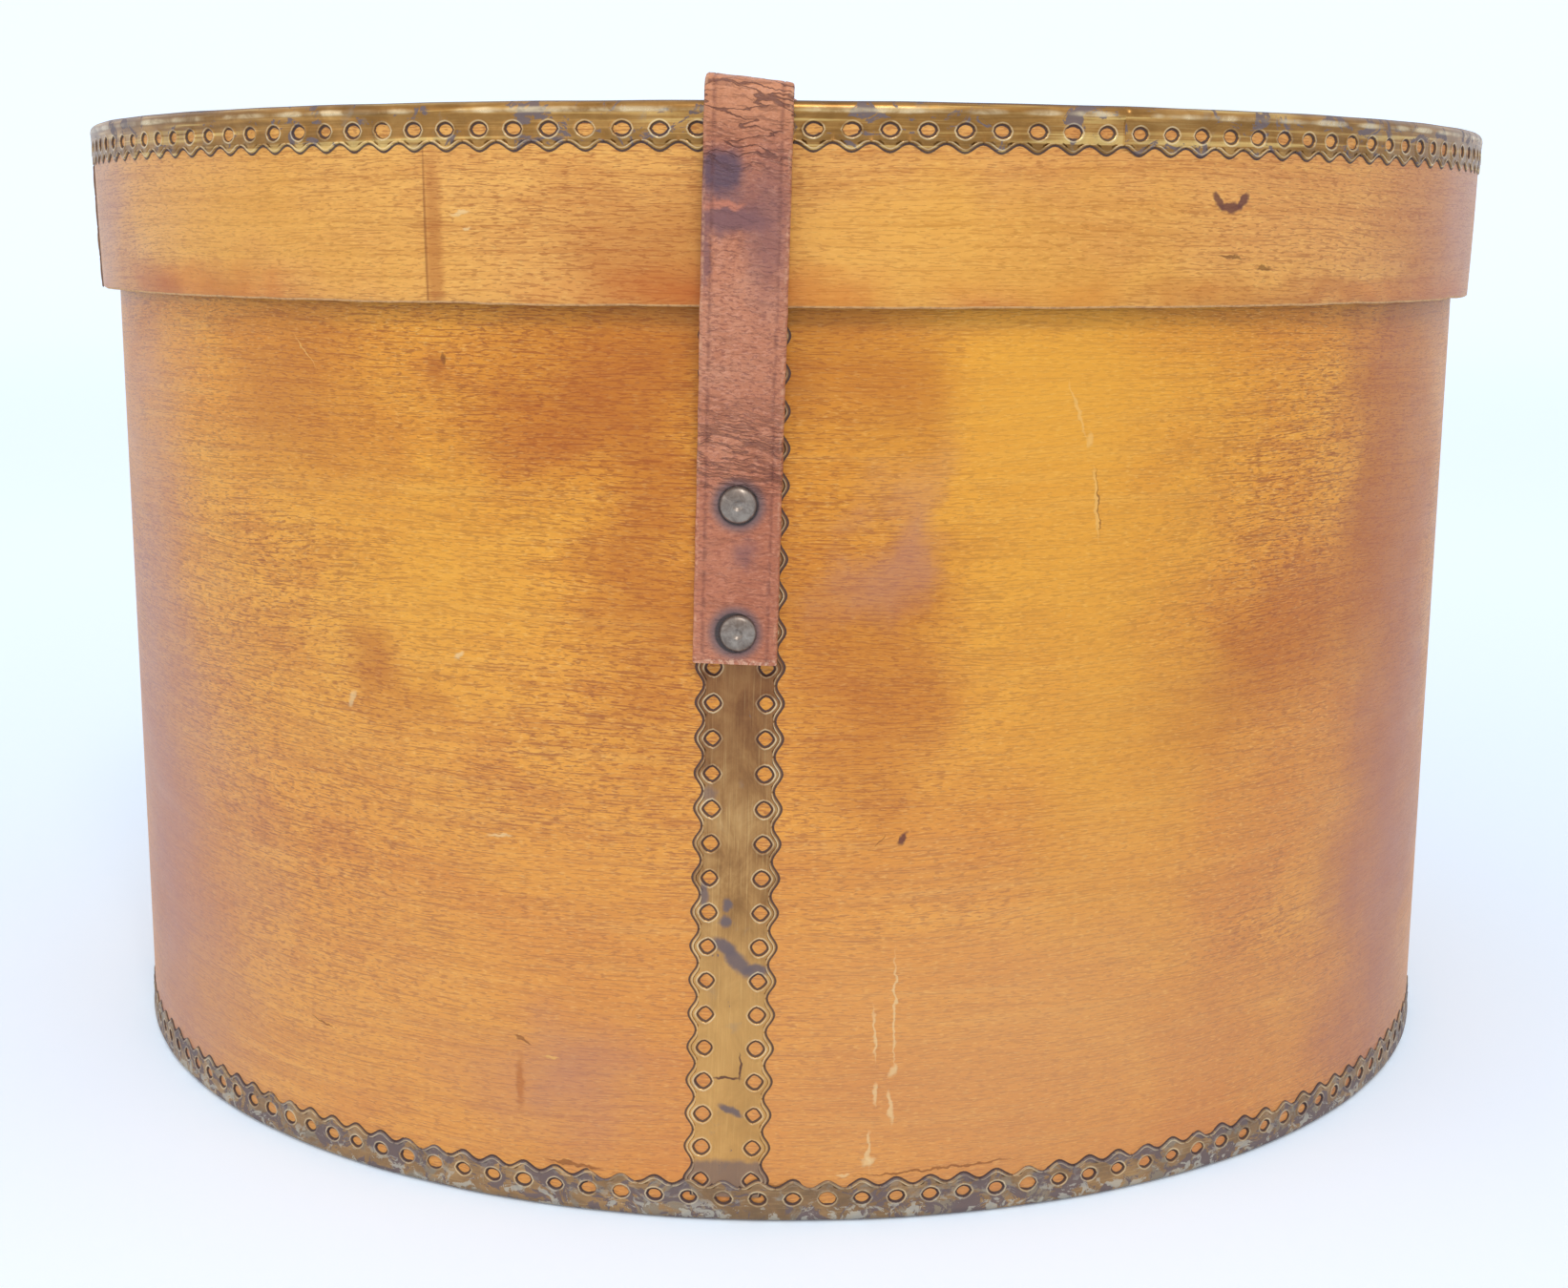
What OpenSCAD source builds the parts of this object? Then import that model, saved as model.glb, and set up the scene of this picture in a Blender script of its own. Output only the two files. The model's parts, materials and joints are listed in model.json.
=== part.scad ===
// Round bentwood hat box with a lift-off lid, punched metal edging and a two-part leather strap.
// Millimetres, +Z up, the box stands on z = 0 and its front, with the wall seam, faces -Y.

/* [Box body] */
// Outer radius of the bentwood body wall
body_r = 184.2; // [150:0.1:220]
// Thickness of the body wall
body_wall_t = 3; // [2:0.1:5]
// Height of the body wall
body_wall_h = 236.5; // [180:0.5:300]
// Thickness of the round base board
base_disc_t = 4.5; // [3:0.1:8]
// Width of the butt joint left between the ends of a bent wall
seam_gap = 0.4; // [0.2:0.1:1.5]

/* [Lid] */
// Radial clearance between the body wall and the lid wall
lid_fit = 1.9; // [1.2:0.1:4]
// Thickness of the lid wall
lid_wall_t = 3; // [2:0.1:5]
// Thickness of the round lid board
lid_disc_t = 4.5; // [3:0.1:8]
// Height of the whole lid, rim band included
lid_h = 41.3; // [25:0.1:55]
// Angle of the lid seam, clockwise from the front seen from above
lid_seam_angle = 72.5; // [45:0.5:90]

/* [Metal edging] */
// Thickness of the edging, with its raised punching
edging_t = 0.8; // [0.4:0.1:1.2]
// Height of the band round the rim of the lid
rim_band_h = 10; // [6:0.1:14]
// Height of the band round the foot of the body
base_band_h = 9.3; // [6:0.1:14]
// Width of the part of a band that is folded over the boards
band_fold_w = 9; // [6:0.1:20]
// Radius of the folded edge of a band
band_fold_r = 1.5; // [1:0.1:3]
// Thickness of a seam strip, with its raised punching
strip_t = 0.6; // [0.4:0.1:0.9]
// Width of a seam strip across its scallops
strip_w = 18.6; // [14:0.1:24]
// Depth of the scallops along a seam strip
scallop_depth = 1.8; // [0.6:0.1:2]
// Distance between the two rows of punched holes
hole_row_gap = 10.7; // [7:0.1:12]
// Distance from one punched hole to the next
hole_pitch = 7.65; // [6:0.05:9]
// Size of a punched hole from corner to corner
hole_d = 3.6; // [2:0.1:4.5]

/* [Brads] */
// Number of brads in each board
brad_count = 12; // [6:1:24]
// Diameter of a brad
brad_d = 1.2; // [0.8:0.1:1.8]
// Length of a brad
brad_l = 14; // [10:0.5:20]

/* [Strap] */
// Width of the leather strap
strap_w = 17.8; // [14:0.1:22]
// Thickness of the leather strap
strap_t = 2.8; // [2:0.1:3.5]
// Height of the strap's squared lower end
strap_end_z = 127.6; // [110:0.1:140]
// Height of the point above the upper rivet where a strap starts to bend
strap_bend_z = 166.7; // [160:0.1:175]
// Gap between the strap and the rim of the lid
strap_rim_gap = 2; // [1.5:0.1:4]
// Angle at which the loose front strap lies across the lid
strap_skew = 7; // [6.5:0.1:9]
// How far the tip of the front strap reaches past the middle of the lid
tip_reach = 70; // [50:1:80]
// Number of holes in the tip of the front strap
tip_holes = 5; // [3:1:6]
// Distance between the holes in the tip
tip_hole_pitch = 15; // [12:0.5:18]
// Diameter of the holes in the tip
tip_hole_d = 3.2; // [2.8:0.1:4]

/* [Rivets] */
// Height of the lower rivet of each strap
rivet_lower_z = 134; // [131:0.1:138]
// Height of the upper rivet of each strap
rivet_upper_z = 161; // [148:0.1:161]
// Diameter of a rivet head
rivet_head_d = 7.8; // [6:0.1:9]
// Height of the dome of a rivet head
rivet_head_h = 1.6; // [1:0.1:2.5]
// Diameter of a rivet shank
rivet_shank_d = 3.8; // [3:0.1:4.5]
// Diameter of the washer inside the body
washer_d = 10; // [8:0.1:13]
// Thickness of the washer
washer_t = 1; // [0.6:0.1:1.5]

/* [Buckle] */
// How far behind the middle of the lid the buckle bar lies
buckle_bar_y = 45; // [35:0.5:60]
// Diameter of the buckle wire
buckle_wire_d = 3; // [2.4:0.1:3.6]
// Length of the buckle frame from its bar to its front rail
buckle_l = 21; // [16:0.5:24]
// Diameter of the prong
prong_d = 2.4; // [2:0.1:2.8]
// Thickness of the leather folded round the bar
chape_t = 1.6; // [1.2:0.1:2.2]
// Length of the leather turned back under the rear strap
chape_l = 44; // [40:0.5:60]
// Width of the keeper loop
keeper_w = 9; // [6:0.5:12]
// Thickness of the keeper leather
keeper_t = 1.2; // [0.8:0.1:1.8]

/* [Hidden] */
$fn = 96;

overcut = 1;              // how far a cutting tool reaches past the face that it cuts
pin_clearance = 0.1;      // between a shank and its hole
soft_clearance = 0.3;     // between leather and what it lies beside or turns in
seat_clearance = 0.1;     // between a flat strap and the curved wall behind it
fold_clearance = 0.8;     // between a strap leg and the bend that folds right over on it

foot_z = edging_t;                        // underside of the wall and of the base board
wall_top_z = foot_z + body_wall_h;        // the lid board rests here
lid_under_z = wall_top_z;
lid_board_top_z = lid_under_z + lid_disc_t;
lid_top_z = lid_board_top_z + edging_t;   // top of the rim band
lid_edge_z = lid_top_z - lid_h;           // lower edge of the lid wall
body_inner_r = body_r - body_wall_t;
lid_inner_r = body_r + lid_fit;
lid_r = lid_inner_r + lid_wall_t;
rim_r = lid_r + edging_t;
strip_tail = 8;                           // how far the body strip stops below the top of the wall

brad_r = brad_d / 2;
brad_hole_r = brad_r + pin_clearance / 2;
shank_r = rivet_shank_d / 2;
rivet_hole_r = shank_r + pin_clearance;
half_t = strap_t / 2;
front_seat_r = body_r + strip_t + seat_clearance;
rear_seat_r = body_r + seat_clearance;

// Heights on top of the lid, from the surface that the straps lie on.
rest_z = lid_top_z + soft_clearance;
run_mid_z = rest_z + half_t;
leg_mid_r = rim_r + strap_rim_gap + half_t;
bend_z = lid_top_z + 1;
bend_top_z = lid_top_z + strap_rim_gap + half_t;

// The strap's centre line, as [distance from the axis, height].
function leg_line(seat_r) = [
  [seat_r + half_t, strap_bend_z],
  [lid_r + 0.7 + half_t, lid_edge_z - 3],
  [leg_mid_r, bend_z - half_t - fold_clearance]];
bend_line = [
  [leg_mid_r, bend_z],
  [leg_mid_r - 1.2, bend_z + 1.6],
  [rim_r - 0.6, bend_top_z],
  [rim_r - 12, bend_top_z - 0.6],
  [rim_r - 32, run_mid_z]];

rivet_foot_t = 0.8;                         // the flat foot of a chape rivet, under the strap
chape_z = rest_z + rivet_foot_t;            // underside of the turned-back leather
rear_mid_z = chape_z + chape_t + half_t;    // centre line of the strap above it
bar_r = buckle_wire_d / 2;
fold_inner_r = bar_r + soft_clearance;
fold_r = fold_inner_r + chape_t;
bar_z = chape_z + fold_r;
rail_w = strap_w + 2 * buckle_wire_d + 2.4; // across the buckle frame
prong_slot_w = prong_d + 2;
prong_slot_back = 9.5;                      // how far behind the bar the slot lets the prong lie
flat_start = 9;                             // how far behind the bar the folded leather lies flat
prong_eye_r = fold_r - 0.2;
prong_eye_w = prong_d + 0.8;
chape_rivet_d = 2.4;
chape_rivet_head_d = 6;
chape_rivet_head_h = 1;
keeper_y = buckle_bar_y + 22;               // middle of the keeper loop

// Points that stay half a thickness from both sides of a line, with mitred corners.
function unit(v) = v / norm(v);
function left(v) = [-v[1], v[0]];
function corner(p, i) =
  let (last = len(p) - 1)
  let (d1 = unit(p[max(i, 1)] - p[max(i, 1) - 1]))
  let (d2 = unit(p[min(i, last - 1) + 1] - p[min(i, last - 1)]))
  let (n = unit(left(d1) + left(d2)))
  n / (n * left(d1));
function ribbon_side(p, t, side) = [for (i = [0:len(p) - 1]) p[i] + side * corner(p, i) * t / 2];
function backwards(p) = [for (i = [len(p) - 1:-1:0]) p[i]];
// Points of a round arc from angle a0 to a1.
function arc(centre, r, a0, a1, steps) =
  [for (i = [0:steps]) centre + r * [cos(a0 + (a1 - a0) * i / steps), sin(a0 + (a1 - a0) * i / steps)]];
// The round end that turns about the first point of a line.
function round_end(p, t) =
  let (d = unit(p[1] - p[0]))
  let (a = atan2(d[1], d[0]))
  arc(p[0], t / 2, a - 90, a - 270, 12);
function ribbon(p, t) = concat(
  round_end(p, t),
  [for (i = [1:len(p) - 1]) ribbon_side(p, t, 1)[i]],
  [for (i = [len(p) - 1:-1:1]) ribbon_side(p, t, -1)[i]]);

// ---------------------------------------------------------------- helpers

module ring(r_out, r_in, z0, h) {
  translate([0, 0, z0])
    difference() {
      cylinder(r = r_out, h = h);
      translate([0, 0, -overcut])
        cylinder(r = r_in, h = h + 2 * overcut);
    }
}

// Holes for brads, or the brads themselves, pointing at the axis from radius r_out.
module radial_pins(r_out, length, z, pin_r) {
  for (i = [0:brad_count - 1])
    rotate([0, 0, 360 * (i + 0.5) / brad_count])
      translate([r_out - length, 0, z])
        rotate([0, 90, 0])
          cylinder(r = pin_r, h = length);
}

// A side view, as [distance from the axis, height], pulled across the front of the box.
module across_front(w) {
  rotate([90, 0, -90])
    linear_extrude(w, center = true)
      children();
}

// A shape drawn looking at the front of the box, pushed through it between two radii.
module through_front(r_out, r_in) {
  translate([0, -r_in, 0])
    rotate([90, 0, 0])
      linear_extrude(r_out - r_in)
        children();
}

module at_rear() {
  rotate([0, 0, 180])
    children();
}

// A bar that points outwards through the front wall at height z.
module front_pin(r_in, r_out, pin_r, z) {
  translate([0, -r_in, z])
    rotate([90, 0, 0])
      cylinder(r = pin_r, h = r_out - r_in);
}

// One side of a seam strip: a scallop for each hole, and a shallow valley between them.
function strip_side(z0, rows, side) = [
  for (i = [0:rows - 1], k = [0:4])
    let (z = z0 + (i + k / 5) * hole_pitch)
    [side * (strip_w / 2 - scallop_depth * pow(cos(180 * k / 5), 2)), z]];

module strip_outline(z0, z1) {
  rows = floor((z1 - z0) / hole_pitch);
  start = z1 - rows * hole_pitch;
  left_side = strip_side(start, rows, -1);
  right_side = strip_side(start, rows, 1);
  valley = strip_w / 2 - scallop_depth;
  difference() {
    polygon(concat(
      [[-valley, z0]], left_side, [[-valley, z1], [valley, z1]],
      [for (i = [len(right_side) - 1:-1:0]) right_side[i]], [[valley, z0]]));
    for (i = [0:rows - 1], side = [-1, 1])
      translate([side * hole_row_gap / 2, start + (i + 0.5) * hole_pitch])
        circle(d = hole_d, $fn = 4);
  }
}

// A strip bent round a wall of radius r, from height z0 to z1.
module seam_strip(r, z0, z1) {
  intersection() {
    ring(r + strip_t, r, z0, z1 - z0);
    through_front(r + strip_t + overcut, r - strip_w)
      strip_outline(z0, z1);
  }
}

// An L-shaped band, drawn as if round the foot, with its fold under the boards.
module band(r, h) {
  r_out = r + edging_t;
  bend = [for (i = [0:6]) [r_out - band_fold_r, band_fold_r]
    + band_fold_r * [sin(15 * i), -cos(15 * i)]];
  rotate_extrude()
    polygon(concat([[r - band_fold_w, 0]], bend,
      [[r_out, h], [r, h], [r, edging_t], [r - band_fold_w, edging_t]]));
}

// ---------------------------------------------------------------- box body

module body_wall() {
  color("burlywood")
    difference() {
      ring(body_r, body_inner_r, foot_z, body_wall_h);
      radial_pins(body_r + overcut, brad_l, foot_z + base_disc_t / 2, brad_hole_r);
      translate([-seam_gap / 2, -body_r - overcut, 0])
        cube([seam_gap, body_wall_t + 2 * overcut, wall_top_z + overcut]);
      for (z = [rivet_lower_z, rivet_upper_z]) {
        front_pin(body_inner_r - overcut, body_r + overcut, rivet_hole_r, z);
        at_rear()
          front_pin(body_inner_r - overcut, body_r + overcut, rivet_hole_r, z);
      }
    }
}

module base_disc() {
  color("tan")
    difference() {
      translate([0, 0, foot_z])
        cylinder(r = body_inner_r, h = base_disc_t);
      radial_pins(body_r + overcut, brad_l + overcut, foot_z + base_disc_t / 2, brad_hole_r);
    }
}

module base_band() {
  color("darkgray")
    band(body_r, base_band_h);
}

module base_brads() {
  color("silver")
    radial_pins(body_r, brad_l, foot_z + base_disc_t / 2, brad_r);
}

module body_seam_strip() {
  color("darkkhaki")
    difference() {
      seam_strip(body_r, base_band_h, wall_top_z - strip_tail);
      for (z = [rivet_lower_z, rivet_upper_z])
        front_pin(body_inner_r, body_r + strip_t + overcut, rivet_hole_r, z);
    }
}

// ---------------------------------------------------------------- strap ends on the body

module strap_anchor(seat_r) {
  top_z = strap_bend_z - half_t - soft_clearance;
  difference() {
    translate([-strap_w / 2, -seat_r - strap_t, strap_end_z])
      cube([strap_w, strap_t, top_z - strap_end_z]);
    for (z = [rivet_lower_z, rivet_upper_z])
      front_pin(seat_r - overcut, seat_r + strap_t + overcut, rivet_hole_r, z);
  }
}

// A domed rivet with a centre dimple, its shank and the head that is formed inside the body.
module body_rivet(seat_r, z) {
  face_r = seat_r + strap_t;
  head_r = rivet_head_d / 2;
  dimple_r = head_r / 5;
  washer_r = washer_face_r() - washer_t;
  formed_h = 1.2;
  formed_r = shank_r + 1.1;
  dome = [for (i = [0:8])
    [dimple_r + (head_r - dimple_r) * cos(90 - 11.25 * i), rivet_head_h * sin(90 - 11.25 * i)]];
  translate([0, 0, z])
    rotate([90, 0, 0])
      rotate_extrude()
        polygon(concat(
          [[0, washer_r - formed_h], [formed_r, washer_r - formed_h], [formed_r, washer_r],
            [shank_r, washer_r], [shank_r, face_r], [head_r, face_r]],
          [for (i = [7:-1:0]) [dome[i][0], face_r + dome[i][1]]],
          [[0, face_r + rivet_head_h - 0.4]]));
}

// Radius at which a flat washer meets the hollow of the wall with its edge.
function washer_face_r() = sqrt(pow(body_inner_r, 2) - pow(washer_d / 2, 2)) - pin_clearance / 2;

module rivet_washers() {
  for (z = [rivet_lower_z, rivet_upper_z])
    difference() {
      front_pin(washer_face_r() - washer_t, washer_face_r(), washer_d / 2, z);
      front_pin(washer_face_r() - washer_t - overcut, washer_face_r() + overcut, rivet_hole_r, z);
    }
}

module strap_front_anchor() {
  color("sienna")
    strap_anchor(front_seat_r);
}

module front_rivet_upper() {
  color("dimgray")
    body_rivet(front_seat_r, rivet_upper_z);
}

module front_rivet_lower() {
  color("dimgray")
    body_rivet(front_seat_r, rivet_lower_z);
}

module front_rivet_washers() {
  color("dimgray")
    rivet_washers();
}

module strap_rear_anchor() {
  color("sienna")
    at_rear()
      strap_anchor(rear_seat_r);
}

module rear_rivet_upper() {
  color("dimgray")
    at_rear()
      body_rivet(rear_seat_r, rivet_upper_z);
}

module rear_rivet_lower() {
  color("dimgray")
    at_rear()
      body_rivet(rear_seat_r, rivet_lower_z);
}

module rear_rivet_washers() {
  color("dimgray")
    at_rear()
      rivet_washers();
}

// ---------------------------------------------------------------- lid

module lid_wall() {
  color("burlywood")
    difference() {
      ring(lid_r, lid_inner_r, lid_edge_z, lid_board_top_z - lid_edge_z);
      radial_pins(lid_r + overcut, brad_l, lid_under_z + lid_disc_t / 2, brad_hole_r);
      rotate([0, 0, -lid_seam_angle])
        translate([-seam_gap / 2, -lid_r - overcut, 0])
          cube([seam_gap, lid_wall_t + 2 * overcut, lid_top_z + overcut]);
    }
}

module lid_disc() {
  color("tan")
    difference() {
      translate([0, 0, lid_under_z])
        cylinder(r = lid_inner_r, h = lid_disc_t);
      radial_pins(lid_r + overcut, brad_l + overcut, lid_under_z + lid_disc_t / 2, brad_hole_r);
    }
}

module lid_rim_band() {
  color("darkkhaki")
    translate([0, 0, lid_top_z])
      mirror([0, 0, 1])
        band(lid_r, rim_band_h);
}

module lid_seam_strip() {
  color("darkkhaki")
    rotate([0, 0, -lid_seam_angle])
      seam_strip(lid_r, lid_edge_z, lid_top_z - rim_band_h);
}

module lid_brads() {
  color("silver")
    radial_pins(lid_r, brad_l, lid_under_z + lid_disc_t / 2, brad_r);
}

// ---------------------------------------------------------------- strap over the lid

module strap_leg(seat_r) {
  line = leg_line(seat_r);
  across_front(strap_w)
    polygon(ribbon(line, strap_t));
}

module strap_front_leg() {
  color("sienna")
    strap_leg(front_seat_r);
}

module strap_rear_leg() {
  color("sienna")
    at_rear()
      strap_leg(rear_seat_r);
}

// The loose front strap: from the bend over the rim to its pointed tip, slanting across the lid.
module strap_front_run() {
  tip_point = 12;
  tip_r = -tip_reach;
  first_hole = tip_reach - 22;
  color("sienna")
    translate([0, -leg_mid_r, 0])
      rotate([0, 0, -strap_skew])
        translate([0, leg_mid_r, 0])
          difference() {
            across_front(strap_w)
              polygon(ribbon(concat(bend_line, [[tip_r, run_mid_z]]), strap_t));
            for (i = [0:tip_holes - 1])
              translate([0, first_hole - i * tip_hole_pitch, rest_z - overcut])
                cylinder(d = tip_hole_d, h = strap_t + 2 * overcut);
            for (side = [-1, 1])
              translate([0, tip_reach, rest_z - overcut])
                linear_extrude(strap_t + 2 * overcut)
                  polygon([[side * strap_w / 5, overcut], [side * strap_w / 5, 0],
                    [side * strap_w / 2, -tip_point], [side * (strap_w / 2 + overcut), -tip_point],
                    [side * (strap_w / 2 + overcut), overcut]]);
          }
}

// The rear strap: over the rim, along the lid, round the buckle bar and back under itself.
module strap_rear_run() {
  bar = [buckle_bar_y, bar_z];
  chape_end = buckle_bar_y + chape_l;
  fold_start = buckle_bar_y + flat_start;
  line = concat(bend_line,
    [[chape_end + 12, run_mid_z], [chape_end, rear_mid_z], [fold_start, rear_mid_z]]);
  top_side = ribbon_side(line, strap_t, -1);
  under_side = ribbon_side(line, strap_t, 1);
  last = len(line) - 1;
  color("sienna")
    at_rear()
      difference() {
        across_front(strap_w)
          difference() {
            polygon(concat(
              backwards(round_end(line, strap_t)),
              [for (i = [1:last]) top_side[i]],
              arc(bar, fold_r, 90, 270, 24),
              [[chape_end, chape_z], [chape_end, chape_z + chape_t]],
              [for (i = [last - 2:-1:1]) under_side[i]]));
            translate(bar)
              circle(r = fold_inner_r);
          }
        translate([-prong_slot_w / 2, -buckle_bar_y - prong_slot_back, chape_z - overcut])
          cube([prong_slot_w, prong_slot_back + fold_r + overcut, 2 * fold_r + 2 * overcut]);
        for (y = chape_rivet_places())
          translate([0, -y, chape_z - overcut])
            cylinder(d = chape_rivet_d + 2 * pin_clearance, h = chape_t + strap_t + 2 * overcut);
      }
}

function chape_rivet_places() = [keeper_y - 9, keeper_y + 12];

module keeper_loop() {
  inner_w = strap_w + 2 * seat_clearance;
  inner_h = chape_t + strap_t + strap_t + 0.6;
  color("saddlebrown")
    translate([0, keeper_y, chape_z])
      difference() {
        translate([-inner_w / 2 - keeper_t, -keeper_w / 2, 0])
          cube([inner_w + 2 * keeper_t, keeper_w, inner_h + keeper_t]);
        translate([-inner_w / 2, -keeper_w / 2 - overcut, -overcut])
          cube([inner_w, keeper_w + 2 * overcut, inner_h + overcut]);
      }
}

module chape_rivets() {
  stack_h = chape_t + strap_t;
  color("dimgray")
    for (y = chape_rivet_places())
      translate([0, y, rest_z]) {
        cylinder(d = chape_rivet_head_d, h = rivet_foot_t);
        cylinder(d = chape_rivet_d, h = rivet_foot_t + stack_h + chape_rivet_head_h);
        translate([0, 0, rivet_foot_t + stack_h])
          cylinder(d = chape_rivet_head_d, h = chape_rivet_head_h);
      }
}

// A plain wire frame: two side rails, a front rail and the bar that the strap is folded round.
module buckle_frame() {
  rail_x = (rail_w - buckle_wire_d) / 2;
  color("goldenrod")
    translate([0, buckle_bar_y, bar_z]) {
      for (y = [0, -buckle_l])
        translate([-rail_x, y, 0])
          rotate([0, 90, 0])
            cylinder(r = bar_r, h = 2 * rail_x);
      for (side = [-1, 1])
        translate([side * rail_x, 0, 0]) {
          rotate([90, 0, 0])
            cylinder(r = bar_r, h = buckle_l);
          for (y = [0, -buckle_l])
            translate([0, y, 0])
              sphere(r = bar_r);
        }
    }
}

// The prong: an eye round the bar and a pin that rests on the front rail.
module buckle_prong() {
  pin_r = prong_d / 2;
  pin_end = buckle_l + bar_r + 1;
  rise = bar_r + pin_r + seat_clearance;
  color("goldenrod")
    translate([0, buckle_bar_y, bar_z])
      difference() {
        union() {
          translate([-prong_eye_w / 2, 0, 0])
            rotate([0, 90, 0])
              cylinder(r = prong_eye_r, h = prong_eye_w);
          translate([0, 0, rise])
            rotate([90, 0, 0])
              cylinder(r = pin_r, h = pin_end);
        }
        translate([-prong_eye_w, 0, 0])
          rotate([0, 90, 0])
            cylinder(r = bar_r + pin_clearance, h = 2 * prong_eye_w);
      }
}

body_wall();
base_disc();
base_band();
base_brads();
body_seam_strip();
strap_front_anchor();
front_rivet_upper();
front_rivet_lower();
front_rivet_washers();
strap_rear_anchor();
rear_rivet_upper();
rear_rivet_lower();
rear_rivet_washers();
lid_wall();
lid_disc();
lid_rim_band();
lid_seam_strip();
lid_brads();
strap_front_leg();
strap_front_run();
strap_rear_leg();
strap_rear_run();
keeper_loop();
chape_rivets();
buckle_frame();
buckle_prong();
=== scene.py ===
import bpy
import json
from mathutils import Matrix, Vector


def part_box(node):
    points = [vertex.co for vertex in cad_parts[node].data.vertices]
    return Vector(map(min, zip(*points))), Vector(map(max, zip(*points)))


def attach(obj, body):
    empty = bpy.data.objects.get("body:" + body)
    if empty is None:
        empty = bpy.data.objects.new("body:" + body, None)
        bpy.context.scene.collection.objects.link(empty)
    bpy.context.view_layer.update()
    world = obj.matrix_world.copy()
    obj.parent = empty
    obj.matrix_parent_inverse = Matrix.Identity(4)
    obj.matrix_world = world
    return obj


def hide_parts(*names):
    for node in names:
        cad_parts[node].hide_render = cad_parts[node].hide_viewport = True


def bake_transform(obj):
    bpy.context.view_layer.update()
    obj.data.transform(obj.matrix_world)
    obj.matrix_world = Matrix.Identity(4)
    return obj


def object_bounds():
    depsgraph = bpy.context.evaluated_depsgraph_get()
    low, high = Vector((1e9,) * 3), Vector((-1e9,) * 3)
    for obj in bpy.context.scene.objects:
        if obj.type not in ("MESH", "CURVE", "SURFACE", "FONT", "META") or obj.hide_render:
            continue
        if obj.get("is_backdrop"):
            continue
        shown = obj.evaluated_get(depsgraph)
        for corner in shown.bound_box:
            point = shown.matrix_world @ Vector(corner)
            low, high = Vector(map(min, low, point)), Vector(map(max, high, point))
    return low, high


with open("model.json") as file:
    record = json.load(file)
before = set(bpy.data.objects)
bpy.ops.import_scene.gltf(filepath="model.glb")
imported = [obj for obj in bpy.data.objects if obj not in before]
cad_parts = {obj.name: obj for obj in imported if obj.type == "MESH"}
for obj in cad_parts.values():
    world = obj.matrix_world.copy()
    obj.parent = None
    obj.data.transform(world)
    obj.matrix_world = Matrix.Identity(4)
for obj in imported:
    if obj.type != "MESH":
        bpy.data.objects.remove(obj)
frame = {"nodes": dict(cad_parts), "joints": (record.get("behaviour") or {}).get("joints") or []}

"""Finish of a round bentwood hat box: varnished plywood, punched metal edging and a worn leather strap.

Every length is in metres. The front of the box, with its wall seam, faces -Y, and azimuths are measured
from the front towards +X, in degrees.
"""

import json
import logging
from dataclasses import dataclass, field
from enum import Enum
from math import atan2, copysign, cos, degrees, exp, hypot, pi, radians, sin, sqrt, tan
from typing import Callable, Optional, Sequence

import bmesh
import bpy
import numpy as np
from mathutils import Matrix, Vector, noise

MM = 0.001
LID_SEAM = -72.5  # azimuth of the lid's joint, in degrees
LOG = logging.getLogger("hat_box")
CAD_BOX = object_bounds()

Array = np.ndarray
Material = bpy.types.Material
Piece = bpy.types.Object
Socket = bpy.types.NodeSocket
Colour = tuple[float, float, float]


def srgb(red: int, green: int, blue: int) -> Colour:
    """Turn a colour as it is seen, 0 to 255, into the linear values that shaders use.

    Args:
        red: Red, 0 to 255.
        green: Green, 0 to 255.
        blue: Blue, 0 to 255.

    Returns:
        The linear red, green and blue.
    """
    def linear(value: int) -> float:
        """Linear value of one channel."""
        part = value / 255
        return part / 12.92 if part <= 0.04045 else ((part + 0.055) / 1.055) ** 2.4
    return linear(red), linear(green), linear(blue)


def ease(value: Array, low: float, high: float) -> Array:
    """Smooth step from 0 at low to 1 at high.

    Args:
        value: Where the step is read.
        low: Value at which the step leaves 0.
        high: Value at which the step reaches 1.

    Returns:
        Numbers from 0 to 1, shaped as value.
    """
    part = np.clip((np.asarray(value, float) - low) / (high - low), 0, 1)
    return part * part * (3 - 2 * part)


def ripple(x: float, y: float, seed: float, octaves: int = 3) -> float:
    """Smooth repeatable noise, about -1 to 1.

    Args:
        x: First place, already scaled to the size of the bumps.
        y: Second place, scaled the same way.
        seed: Picks an independent pattern.
        octaves: How many finer layers are added.

    Returns:
        The height of the noise.
    """
    total, size = 0.0, 1.0
    for layer in range(octaves):
        total += noise.noise(Vector((x / size, y / size, seed + 7.3 * layer))) * size
        size *= 0.5
    return total


def run_along(line: Array) -> Array:
    """Distance along a line at each of its places."""
    return np.concatenate([[0], np.cumsum(np.linalg.norm(np.diff(line, axis=0), axis=1))])


def unit(rows: Array) -> Array:
    """Vectors in rows, each made one long."""
    return rows / np.linalg.norm(rows, axis=1)[:, None]


def joint_value(name: str, key: str) -> Sequence[float]:
    """A joint's place or axis, from the frame."""
    return next(joint[key] for joint in frame["joints"] if joint["name"] == name)


def put(name: str, data: bpy.types.ID) -> Piece:
    """Make an object from its data and put it in the scene."""
    piece = bpy.data.objects.new(name, data)
    bpy.context.scene.collection.objects.link(piece)
    return piece


# ------------------------------------------------------------------ mesh making


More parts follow.
